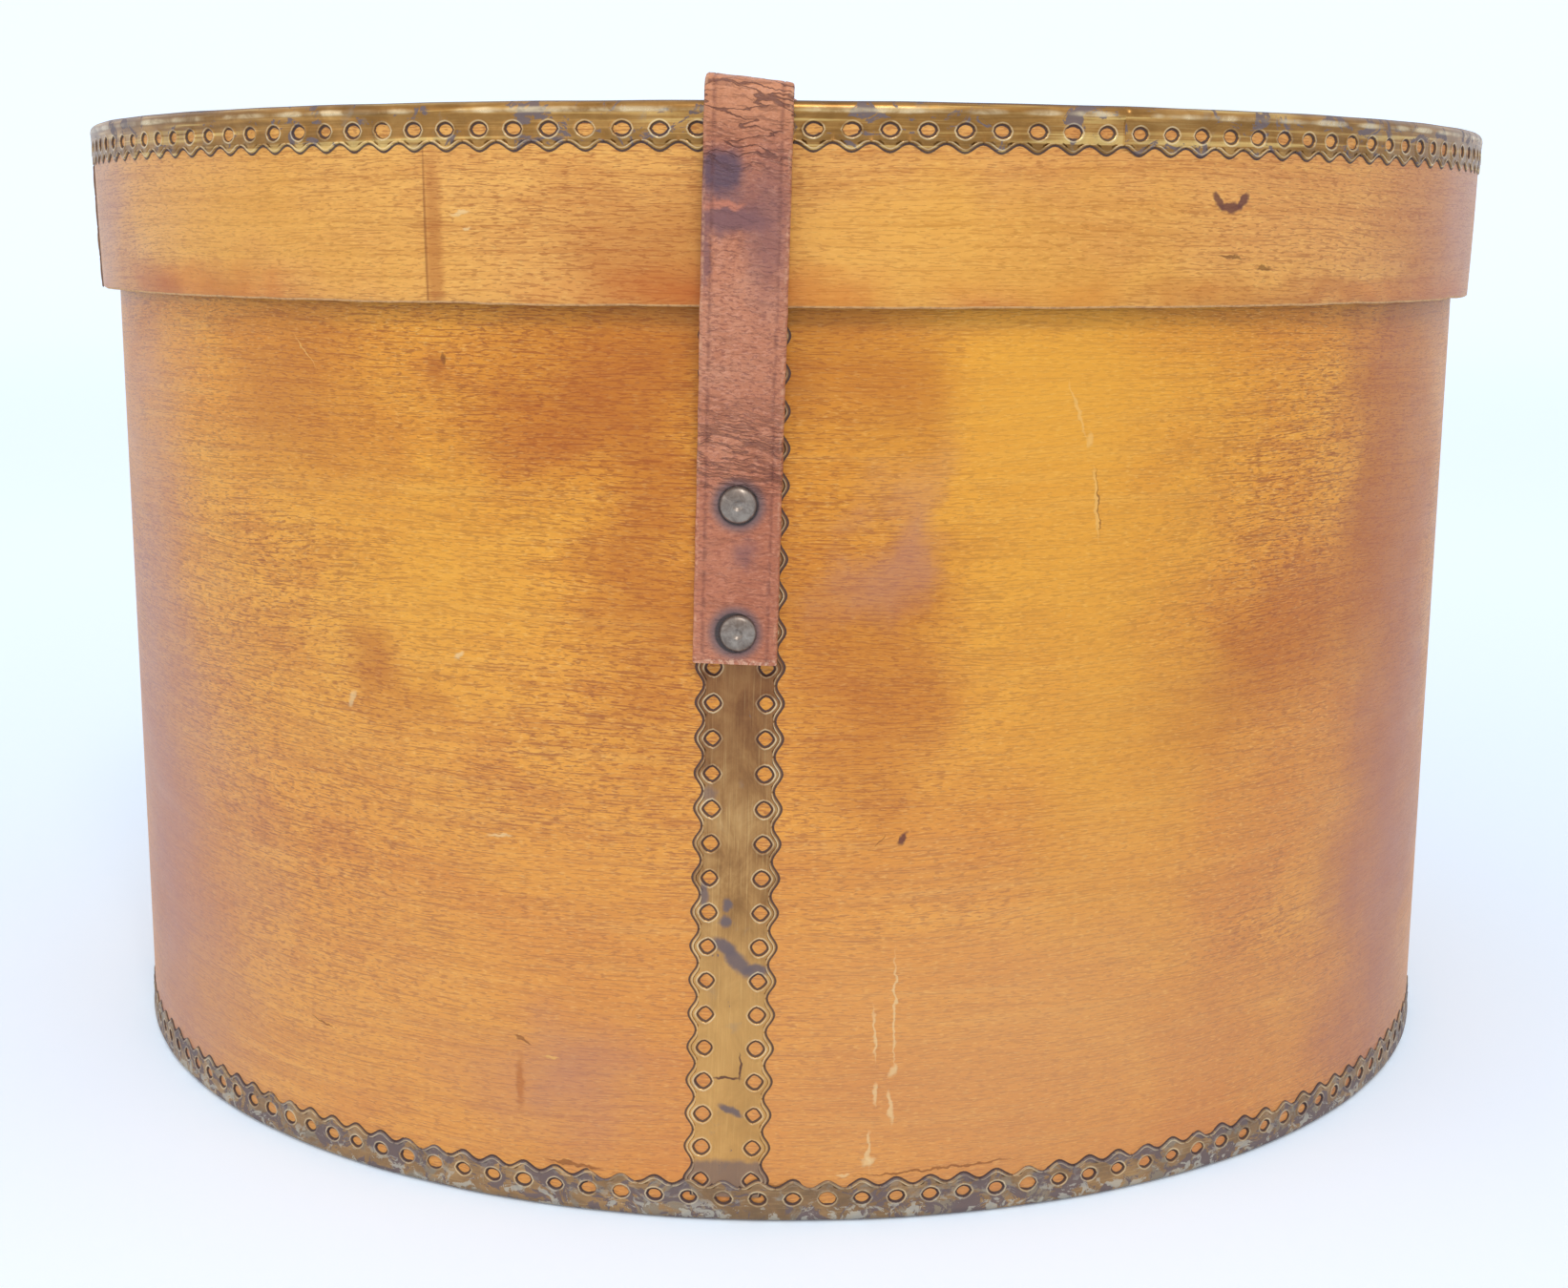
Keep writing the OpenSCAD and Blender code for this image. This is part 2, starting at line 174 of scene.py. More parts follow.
class MeshPlan:
    """Points, faces and surface coordinates of one piece, gathered before Blender makes its mesh."""

    def __init__(self) -> None:
        """Start with nothing."""
        self.points: list[Array] = []
        self.coords: list[Array] = []
        self.relief: list[Array] = []
        self.faces: list[tuple[int, ...]] = []
        self.slots: list[int] = []
        self.count = 0

    def add(self, points: Array, coords: Array, relief: Optional[Array] = None) -> int:
        """Add a block of points.

        Args:
            points: Places, with 3 numbers in the last axis.
            coords: Surface coordinates in metres, with 2 numbers in the last axis.
            relief: 1 on raised metal, -1 in creases, 0 elsewhere; the plating paints the raised parts lighter
                and the creases dark, partly as painted highlight and shade.

        Returns:
            The number of the block's first point.
        """
        start = self.count
        flat = np.asarray(points, float).reshape(-1, 3)
        self.points.append(flat)
        self.coords.append(np.asarray(coords, float).reshape(-1, 2))
        self.relief.append(np.zeros(len(flat)) if relief is None else np.asarray(relief, float).reshape(-1))
        self.count += len(flat)
        return start

    def grid(self, start: int, rows: int, columns: int, close_rows: bool = False,
             close_columns: bool = False, slots: Optional[Sequence[int]] = None) -> None:
        """Join a block of rows by columns points with four-sided faces.

        Args:
            start: First point of the block.
            rows: Number of rows.
            columns: Number of points in a row.
            close_rows: Whether the last row joins the first.
            close_columns: Whether each row is a closed loop.
            slots: Material slot of the faces at each column, or all 0.
        """
        for row in range(rows if close_rows else rows - 1):
            here, there = start + row * columns, start + (row + 1) % rows * columns
            for column in range(columns if close_columns else columns - 1):
                beside = (column + 1) % columns
                self.faces.append((here + column, here + beside, there + beside, there + column))
                self.slots.append(0 if slots is None else slots[column])

    def face(self, corners: Sequence[int], slot: int = 0) -> None:
        """Add one face of any number of corners."""
        self.faces.append(tuple(corners))
        self.slots.append(slot)

    def close_ends(self, start: int, rows: int, columns: int, slot: int = 0) -> None:
        """Close the first and the last loop of a tube, one face each."""
        last = start + (rows - 1) * columns
        self.face(range(start, start + columns)[::-1], slot)
        self.face(range(last, last + columns), slot)

    def build(self, name: str, materials: Sequence[Material]) -> Piece:
        """Make the Blender object.

        Args:
            name: Name of the piece.
            materials: One material for each slot used.

        Returns:
            The object, smooth shaded, with its coordinates and relief stored on the mesh.
        """
        points, coords = np.vstack(self.points), np.vstack(self.coords)
        mesh = bpy.data.meshes.new(name)
        mesh.from_pydata(points.tolist(), [], self.faces)
        for material in materials:
            mesh.materials.append(material)
        mesh.polygons.foreach_set("material_index", self.slots)
        mesh.polygons.foreach_set("use_smooth", [True] * len(self.faces))
        corners = np.zeros(len(mesh.loops), np.int32)
        mesh.loops.foreach_get("vertex_index", corners)
        layer = mesh.uv_layers.new(name="surface")
        layer.data.foreach_set("uv", coords[corners].astype(np.float32).ravel())
        relief = mesh.attributes.new("relief", "FLOAT", "POINT")
        relief.data.foreach_set("value", np.concatenate(self.relief).astype(np.float32))
        mesh.validate()
        mesh.update()
        return put(name, mesh)


def around(azimuth: Array, radius: Array, height: Array) -> Array:
    """Places on circles round the box's axis.

    Args:
        azimuth: Radians from the front towards +X.
        radius: Distance from the axis.
        height: Height above the floor.

    Returns:
        Places, with 3 numbers in the last axis.
    """
    azimuth, radius, height = np.broadcast_arrays(azimuth, radius, height)
    return np.stack([radius * np.sin(azimuth), -radius * np.cos(azimuth), height], -1)


def sharpen(piece: Piece, angle: float) -> None:
    """Shade a piece flat across edges that turn by more than an angle.

    Args:
        piece: The piece, with smooth faces.
        angle: Degrees between faces above which an edge is sharp.
    """
    shape = bmesh.new()
    shape.from_mesh(piece.data)
    for edge in shape.edges:
        if len(edge.link_faces) == 2 and edge.calc_face_angle(0) > radians(angle):
            edge.smooth = False
    shape.to_mesh(piece.data)
    shape.free()


def cut(piece: Piece, tools: Sequence[Piece]) -> None:
    """Cut tools out of a piece, and throw the tools away.

    Args:
        piece: A closed piece.
        tools: Closed shapes to take away.
    """
    for tool in tools:
        change = piece.modifiers.new("cut", "BOOLEAN")
        change.operation = "DIFFERENCE"
        change.solver = "EXACT"
        change.object = tool
    graph = bpy.context.evaluated_depsgraph_get()
    mesh = bpy.data.meshes.new_from_object(piece.evaluated_get(graph))
    piece.modifiers.clear()
    old, piece.data = piece.data, mesh
    bpy.data.meshes.remove(old)
    for tool in tools:
        bpy.data.objects.remove(tool)


def cutter(shape: bmesh.types.BMesh) -> Piece:
    """Turn a closed shape into a cutting tool."""
    mesh = bpy.data.meshes.new("cutter")
    shape.to_mesh(mesh)
    shape.free()
    return put("cutter", mesh)


def peg(centre: Vector, radius: float, length: float) -> Piece:
    """An upright round cutting tool.

    Args:
        centre: Middle of the tool.
        radius: Its radius.
        length: Its length.

    Returns:
        The tool.
    """
    shape = bmesh.new()
    bmesh.ops.create_cone(shape, cap_ends=True, segments=32, radius1=radius, radius2=radius, depth=length,
                          matrix=Matrix.Translation(centre))
    return cutter(shape)


def block(centre: Vector, size: Vector) -> Piece:
    """A rectangular cutting tool.

    Args:
        centre: Middle of the tool.
        size: Its three lengths.

    Returns:
        The tool.
    """
    shape = bmesh.new()
    bmesh.ops.create_cube(shape, size=1, matrix=Matrix.Translation(centre) @ Matrix.Diagonal((*size, 1)))
    return cutter(shape)


def settle(piece: Piece, body: str, node: str) -> Piece:
    """Let a piece ride on a body and stand for a CAD node.

    Args:
        piece: The finished piece.
        body: The body that carries it.
        node: The node that it stands for.

    Returns:
        The same piece.
    """
    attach(piece, body)
    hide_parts(node)
    LOG.info("%s rides on %s, for %s", piece.name, body, node)
    return piece


@dataclass
class Part:
    """A piece that stands for one CAD node.

    Attributes:
        name: Name of the piece.
        node: The CAD node that it stands for.
        body: The body that carries it.
    """

    name: str
    node: str
    body: str

    def settled(self, plan: MeshPlan, materials: Sequence[Material]) -> Piece:
        """Build the piece from its plan and let it ride on its body."""
        return settle(plan.build(self.name, materials), self.body, self.node)


# ------------------------------------------------------------------ materials


class Shader:
    """A node tree for one finish, with short calls for the nodes that finishes share.

    Its colour is built in layers: the first is set, and over() lays each further one on it.
    """

    def __init__(self, name: str) -> None:
        """Start a finish.

        Args:
            name: Name of the material.
        """
        self.material = bpy.data.materials.new(name)
        self.material.use_nodes = True
        self.tree = self.material.node_tree
        self.surface = self.tree.nodes["Principled BSDF"]
        self.colour: object = None

    def node(self, kind: str, **settings: object) -> bpy.types.Node:
        """Add a node and set its properties."""
        made = self.tree.nodes.new("ShaderNode" + kind)
        for key, value in settings.items():
            setattr(made, key, value)
        return made

    def feed(self, socket: Socket, value: object) -> None:
        """Link a socket, or set it when value is a plain number or tuple."""
        if isinstance(value, bpy.types.NodeSocket):
            self.tree.links.new(value, socket)
        elif isinstance(value, tuple) and len(value) == 3 and socket.type == "RGBA":
            socket.default_value = (*value, 1)
        else:
            socket.default_value = value

    def coords(self) -> Socket:
        """The surface coordinates of a piece, in metres."""
        return self.node("UVMap", uv_map="surface").outputs[0]

    def place(self) -> Socket:
        """The place in the box's own frame, in metres."""
        return self.node("TexCoord").outputs["Object"]

    def relief(self) -> Socket:
        """How raised or sunk the metal is, from 1 to -1; it places painted highlights and shade."""
        return self.node("Attribute", attribute_name="relief").outputs["Fac"]

    def split(self, vector: Socket) -> list[Socket]:
        """The three parts of a vector."""
        made = self.node("SeparateXYZ")
        self.feed(made.inputs[0], vector)
        return list(made.outputs)

    def length(self, vector: Socket) -> Socket:
        """The length of a vector."""
        made = self.node("VectorMath", operation="LENGTH")
        self.feed(made.inputs[0], vector)
        return made.outputs["Value"]

    def join(self, x: object, y: object, z: object = 0.0) -> Socket:
        """A vector from three parts."""
        made = self.node("CombineXYZ")
        for socket, value in zip(made.inputs, (x, y, z)):
            self.feed(socket, value)
        return made.outputs[0]

    def scaled(self, vector: Socket, x: float, y: float, z: float = 1.0) -> Socket:
        """A vector with each part multiplied."""
        made = self.node("VectorMath", operation="MULTIPLY")
        self.feed(made.inputs[0], vector)
        made.inputs[1].default_value = (x, y, z)
        return made.outputs[0]

    def math(self, operation: str, a: object, b: object = 0.0, clamp: bool = False) -> Socket:
        """One sum on numbers."""
        made = self.node("Math", operation=operation, use_clamp=clamp)
        self.feed(made.inputs[0], a)
        self.feed(made.inputs[1], b)
        return made.outputs[0]

    def times(self, a: object, b: object) -> Socket:
        """The product of two numbers."""
        return self.math("MULTIPLY", a, b)

    def plus(self, a: object, b: object) -> Socket:
        """The sum of two numbers."""
        return self.math("ADD", a, b)

    def most(self, a: object, b: object) -> Socket:
        """The larger of two numbers."""
        return self.math("MAXIMUM", a, b)

    def step(self, value: object, low: float, high: float, out_low: float = 0.0,
             out_high: float = 1.0) -> Socket:
        """A smooth step of a number, from out_low at low to out_high at high."""
        made = self.node("MapRange", interpolation_type="SMOOTHSTEP")
        for socket, number in zip(made.inputs, (value, low, high, out_low, out_high)):
            self.feed(socket, number)
        return made.outputs[0]

    def cloud(self, vector: Socket, scale: float, detail: float = 3.0, rough: float = 0.55,
              warp: float = 0.0) -> Socket:
        """Noise from 0 to 1."""
        made = self.node("TexNoise")
        self.feed(made.inputs["Vector"], vector)
        made.inputs["Scale"].default_value = scale
        made.inputs["Detail"].default_value = detail
        made.inputs["Roughness"].default_value = rough
        made.inputs["Distortion"].default_value = warp
        return made.outputs["Fac"]

    def grain(self, vector: Socket, x: float, y: float, detail: float, rough: float = 0.55,
              warp: float = 0.0, z: float = 1.0) -> Socket:
        """Noise from 0 to 1 with x, y and z bumps in a metre."""
        return self.cloud(self.scaled(vector, x, y, z), 1, detail, rough, warp)

    def ramp(self, value: object, stops: Sequence[tuple[float, Colour]]) -> Socket:
        """A colour from a number."""
        made = self.node("ValToRGB")
        scale = made.color_ramp.elements
        while len(scale) < len(stops):
            scale.new(0.5)
        for stop, (place, colour) in zip(scale, stops):
            stop.position = place
            stop.color = (*colour, 1)
        self.feed(made.inputs[0], value)
        return made.outputs["Color"]

    def mix(self, share: object, a: object, b: object) -> Socket:
        """Two colours mixed."""
        made = self.node("Mix", data_type="RGBA")
        self.feed(made.inputs[0], share)
        self.feed(made.inputs[6], a)
        self.feed(made.inputs[7], b)
        return made.outputs[2]

    def over(self, share: object, tint: Colour) -> None:
        """Lay a colour over what is there."""
        self.colour = self.mix(share, self.colour, tint)

    def spot(self, vector: Socket, x: float, y: float, length: float, width: float, angle: float,
             soft: float = 0.5) -> Socket:
        """A soft ellipse, 1 inside and 0 outside.

        Args:
            vector: Surface coordinates.
            x: First coordinate of the middle.
            y: Second coordinate of the middle.
            length: Length of the ellipse.
            width: Width of the ellipse.
            angle: Degrees from the first coordinate to the length.
            soft: Share of the radius over which it fades.

        Returns:
            The mask.
        """
        made = self.node("Mapping", vector_type="TEXTURE")
        self.feed(made.inputs["Vector"], vector)
        made.inputs["Location"].default_value = (x, y, 0)
        made.inputs["Rotation"].default_value = (0, 0, radians(angle))
        made.inputs["Scale"].default_value = (length / 2, width / 2, 1)
        return self.step(self.length(made.outputs[0]), 1 - soft, 1 + soft, 1, 0)

    def stray(self, vector: Socket, scale: float, detail: float, x: float, y: float) -> Socket:
        """Coordinates pushed about by noise over distances x and y, and not moved on average."""
        made = self.node("TexNoise")
        made.inputs["Scale"].default_value = scale
        made.inputs["Detail"].default_value = detail
        self.feed(made.inputs["Vector"], vector)
        pushed = self.node("VectorMath", operation="MULTIPLY_ADD")
        self.feed(pushed.inputs[0], made.outputs["Color"])
        pushed.inputs[1].default_value = (x, y, 0)
        self.feed(pushed.inputs[2], vector)
        back = self.node("VectorMath", operation="SUBTRACT")
        self.feed(back.inputs[0], pushed.outputs[0])
        back.inputs[1].default_value = (x / 2, y / 2, 0)
        return back.outputs[0]

    def bump(self, height: Socket, strength: float, distance: float) -> None:
        """Roughen the surface with a height."""
        made = self.node("Bump")
        made.inputs["Strength"].default_value = strength
        made.inputs["Distance"].default_value = distance
        self.feed(made.inputs["Height"], height)
        self.feed(self.surface.inputs["Normal"], made.outputs[0])

    def finish(self, rough: object, metal: object = 0.0, **sockets: float) -> Material:
        """Set the surface and hand the material over.

        Args:
            rough: Roughness of the surface.
            metal: How metallic it is.
            sockets: Plain values for other sockets, with _ for each space in their names.

        Returns:
            The material.
        """
        self.feed(self.surface.inputs["Base Color"], self.colour)
        self.feed(self.surface.inputs["Roughness"], rough)
        self.feed(self.surface.inputs["Metallic"], metal)
        for key, value in sockets.items():
            self.surface.inputs[key.replace("_", " ")].default_value = value
        return self.material


class BlemishAndLight(Enum):
    """A blemish, or a soft patch of painted light and shade: its colour, how strong it is and whether it is
    dented.
    """

    CHIP = (srgb(240, 206, 150), 0.62, 0.45)
    SCRATCH = (srgb(240, 186, 104), 0.6, 0.35)
    BRUISE = (srgb(98, 54, 50), 0.88, 0.3)
    KNOT = (srgb(96, 56, 22), 0.7, 0.35)
    LINE = (srgb(112, 58, 30), 0.6, 0.3)
    STRIPE = (srgb(170, 92, 42), 0.5, 0.6)
    JOINT = (srgb(126, 66, 30), 0.50, 0.5)
    BLEACH = (srgb(232, 176, 112), 0.26, 0.95)
    # Haze: greyish stains, and painted reflection on the grazing sides of the walls.
    HAZE_AND_REFLECTION = (srgb(176, 120, 108), 0.46, 0.95)
    # Shade: painted shade beside the strap and just below the lid, painted darkening of the reflection on the
    # right side, and the wood's darker tone.
    SHADE = (srgb(172, 86, 18), 0.46, 0.95)
    # Glow: painted pools of light, and the wood's lighter tone.
    GLOW = (srgb(240, 172, 56), 0.42, 0.95)


@dataclass(frozen=True)
class Mark:
    """One mark on a bent wall, placed by azimuth in degrees and height, with its length and width."""

    kind: BlemishAndLight
    azimuth: float
    height: float
    length: float
    width: float
    angle: float = 0.0


def marks(kind: BlemishAndLight, *places: tuple[float, ...]) -> tuple[Mark, ...]:
    """Marks of one kind.

    Args:
        kind: What they are.
        places: For each its azimuth in degrees, then its height, length and width in mm, then its angle.

    Returns:
        The marks.
    """
    return tuple(Mark(kind, azimuth, height * MM, length * MM, width * MM, *angle)
                 for azimuth, height, length, width, *angle in places)


@dataclass(frozen=True)
class VarnishedPly:
    """Honey-coloured varnished plywood, with its grain running round the wall.

    Attributes:
        name: Name of the material.
        radius: Radius of the wall.
        seam: Azimuth of its joint, in degrees.
        low: Height of its lower edge.
        stained_up: How far the stain at that edge reaches up.
        marks: Its blemishes and its soft patches of painted light, shade and reflection, laid on in turn.
        figured: Where its figure is strongest.
        pallor: How pale the varnish is, from 0 to 1.
        reddened: How strong the stain at the lower edge is.
        paler_below: How much paler the wall grows towards its foot.
        figure: How strong the figure is.
        planar: True for a board, whose grain follows its place and not a wall.
    """

    name: str
    radius: float = 1.0
    seam: float = 0.0
    low: float = 0.0
    stained_up: float = 0.0
    marks: tuple[Mark, ...] = ()
    figured: tuple[Mark, ...] = ()
    pallor: float = 0.0
    reddened: float = 0.34
    paler_below: float = 0.34
    figure: float = 1.0
    planar: bool = False

    def spot(self, shade: Shader, source: Socket, mark: Mark, soft: float) -> Socket:
        """The mask of one mark, placed by its distance round the wall from the seam."""
        along = radians((mark.azimuth - self.seam) % 360) * self.radius
        return shade.spot(source, along, mark.height, mark.length, mark.width, mark.angle, soft)

    def grained(self, shade: Shader, coords: Socket, wavy: Socket) -> tuple[Socket, Socket, Socket]:
        """Lay on the colour of the wood and its varnish, with painted glints.

        Args:
            shade: The node tree.
            coords: Surface coordinates.
            wavy: The same, wandering as the grain does.

        Returns:
            The streaks, the stipple and the flecks, for the bumps.
        """
        figure = shade.grain(coords, 8, 13, 5, 0.6, 0.8)
        broad = shade.grain(coords, 3.2, 5.5, 2, 0.5, 0.3)
        tone = shade.plus(shade.times(figure, 0.6), shade.times(broad, 0.4))
        shade.colour = shade.ramp(tone, [
            (0.30, srgb(200, 110, 26)), (0.42, srgb(220, 136, 36)), (0.52, srgb(232, 154, 46)),
            (0.64, srgb(238, 166, 56)), (0.78, srgb(243, 176, 68))])
        shade.over(self.pallor, srgb(236, 186, 122))
        streak = shade.grain(wavy, 14, 520, 4, 0.6)
        shade.over(shade.step(streak, 0.42, 0.72, 0, 0.40), srgb(176, 96, 28))
        pale = shade.grain(wavy, 9, 260, 3, 0.6)
        shade.over(shade.step(pale, 0.52, 0.75, 0, 0.30), srgb(246, 186, 92))
        zone = shade.step(shade.grain(coords, 9, 13, 3, 0.6, 0.6), 0.46, 0.64)
        for mark in self.figured:
            zone = shade.most(zone, self.spot(shade, coords, mark, 0.95))
        zone = shade.times(zone, self.figure)
        blotch = shade.grain(wavy, 46, 90, 5, 0.68, 0.6)
        shade.over(shade.times(shade.step(blotch, 0.47, 0.63), shade.plus(0.07, shade.times(zone, 0.24))),
                   srgb(184, 92, 26))
        stipple = shade.grain(wavy, 300, 760, 3, 0.62, 0.8)
        shade.over(shade.times(shade.step(stipple, 0.50, 0.62), shade.plus(0.05, shade.times(zone, 0.34))),
                   srgb(150, 66, 16))
        fleck = shade.grain(wavy, 380, 2400, 2, 0.5, 0.2)
        flecks = shade.step(fleck, 0.555, 0.61)
        hairs = shade.grain(wavy, 85, 2300, 3, 0.55, 0.3)
        flecks = shade.most(flecks, shade.step(hairs, 0.57, 0.62))
        strength = shade.plus(0.44, shade.times(zone, 0.26))
        shade.over(shade.times(flecks, strength), srgb(146, 70, 20))
        # Painted glints: pale specks in the colour that stand in for light sparkling on the varnish.
        glint = shade.grain(wavy, 520, 2900, 1, 0.5)
        shade.over(shade.step(glint, 0.56, 0.70, 0, 0.35), srgb(252, 200, 112))
        return streak, stipple, flecks

    def material(self) -> Material:
        """Make the finish.

        Returns:
            The material.
        """
        shade = Shader(self.name)
        coords = shade.place() if self.planar else shade.coords()
        along, up, _ = shade.split(coords)
        drift = shade.grain(coords, 5, 22, 2)
        wavy = shade.join(along, shade.plus(up, shade.times(drift, 0.014)))
        streak, stipple, flecks = self.grained(shade, coords, wavy)
        smudge = shade.grain(coords, 30, 60, 4, 0.65)
        if not self.planar:
            foot = shade.plus(up, shade.times(smudge, -0.016))
            aged = shade.step(foot, self.low - 6 * MM, self.low + self.stained_up, 1, 0)
            patchy = shade.step(shade.grain(coords, 15, 15, 4, 0.6), 0.44, 0.60)
            shade.over(shade.times(shade.times(aged, patchy), self.reddened), srgb(198, 94, 24))
            # Paler towards the foot, by height alone.
            shade.over(shade.step(up, self.low + 180 * MM, self.low + 10 * MM, 0, self.paler_below),
                       srgb(223, 160, 112))
        dents: Optional[Socket] = None
        ragged = shade.stray(coords, 420, 2, 2.2 * MM, 2.2 * MM)
        clouded = shade.stray(coords, 42, 5, 50 * MM, 36 * MM)
        # Blemishes, and soft patches that paint light, shade and reflection; only the sharper marks are
        # dented.
        for mark in self.marks:
            tint, share, soft = mark.kind.value
            cloudy = soft > 0.9
            source = coords if mark.kind is BlemishAndLight.JOINT else clouded if cloudy else ragged
            mask = self.spot(shade, source, mark, soft)
            shade.over(shade.times(mask, share), tint)
            if not cloudy:
                dents = mask if dents is None else shade.most(dents, mask)
        gloss = shade.plus(0.30, shade.times(smudge, 0.20))
        height = shade.plus(shade.times(streak, 0.4), shade.times(flecks, -0.7))
        height = shade.plus(height, shade.times(stipple, 0.5))
        if dents is not None:
            height = shade.math("SUBTRACT", height, shade.times(dents, 2.0))
            gloss = shade.plus(gloss, shade.times(dents, 0.3))
        shade.bump(height, 0.4, 0.12 * MM)
        return shade.finish(gloss, Specular_IOR_Level=0.34)


@dataclass(frozen=True)
class RawPly:
    """Bare plywood, as on the inside of the walls and under the boards."""

    name: str
    tint: Colour = srgb(206, 156, 96)

    def material(self) -> Material:
        """Make the finish.

        Returns:
            The material.
        """
        shade = Shader(self.name)
        place = shade.place()
        streak = shade.grain(place, 12, 260, 4, 0.6, z=400)
        patch = shade.grain(place, 6, 14, 3, 0.6, 0.4, z=14)
        shade.colour = self.tint
        shade.over(shade.step(patch, 0.35, 0.7, 0, 0.5), srgb(184, 126, 70))
        shade.over(shade.step(streak, 0.45, 0.75, 0, 0.4), srgb(158, 104, 58))
        shade.bump(streak, 0.3, 0.1 * MM)
        return shade.finish(shade.step(patch, 0.2, 0.8, 0.55, 0.7))


@dataclass(frozen=True)
class PlyEdge:
    """The cut edge of a bent wall: pale outer plies, a dark middle one and worn varnish."""

    name: str
    inner: float
    outer: float

    def material(self) -> Material:
        """Make the finish.

        Returns:
            The material.
        """
        shade = Shader(self.name)
        place = shade.place()
        flat = shade.scaled(place, 1, 1, 0)
        depth = shade.step(shade.length(flat), self.inner, self.outer)
        shade.colour = shade.ramp(depth, [
            (0.0, srgb(196, 140, 84)), (0.34, srgb(190, 132, 76)), (0.36, srgb(112, 66, 36)),
            (0.64, srgb(120, 72, 40)), (0.66, srgb(206, 150, 92)), (1.0, srgb(222, 170, 108))])
        fray = shade.cloud(place, 700, 3, 0.6)
        shade.over(shade.step(fray, 0.4, 0.7, 0, 0.5), srgb(150, 92, 50))
        shade.bump(fray, 0.4, 0.2 * MM)
        return shade.finish(0.65)


class Plating(Enum):
    """How worn the metal edging is: how golden, how grey, and the noise level at which corrosion starts."""

    GOLD = (0.50, 0.20, 0.60)
    STRIP = (0.52, 0.10, 0.72)
    CORRODED = (0.485, 0.75, 0.54)


@dataclass(frozen=True)
class Stain:
    """A patch on a strip or a strap, placed along and across it, with its length, width and colour."""

    colour: Colour
    along: float
    across: float
    length: float
    width: float
    share: float = 1.0
    angle: float = 0.0
    soft: float = 0.4

    def mask(self, shade: Shader, source: Socket) -> Socket:
        """Where the stain is, from 0 to 1."""
        return shade.spot(source, self.along, self.across, self.length, self.width, self.angle, self.soft)


def stains(colour: Colour, *places: tuple[float, ...]) -> tuple[Stain, ...]:
    """Stains of one colour.

    Args:
        colour: Their colour.
        places: For each its place along and across, its length and width in mm, then its share, angle and
            softness where they aren't the usual ones.

    Returns:
        The stains.
    """
    return tuple(Stain(colour, *(size * MM for size in place[:4]), *place[4:]) for place in places)


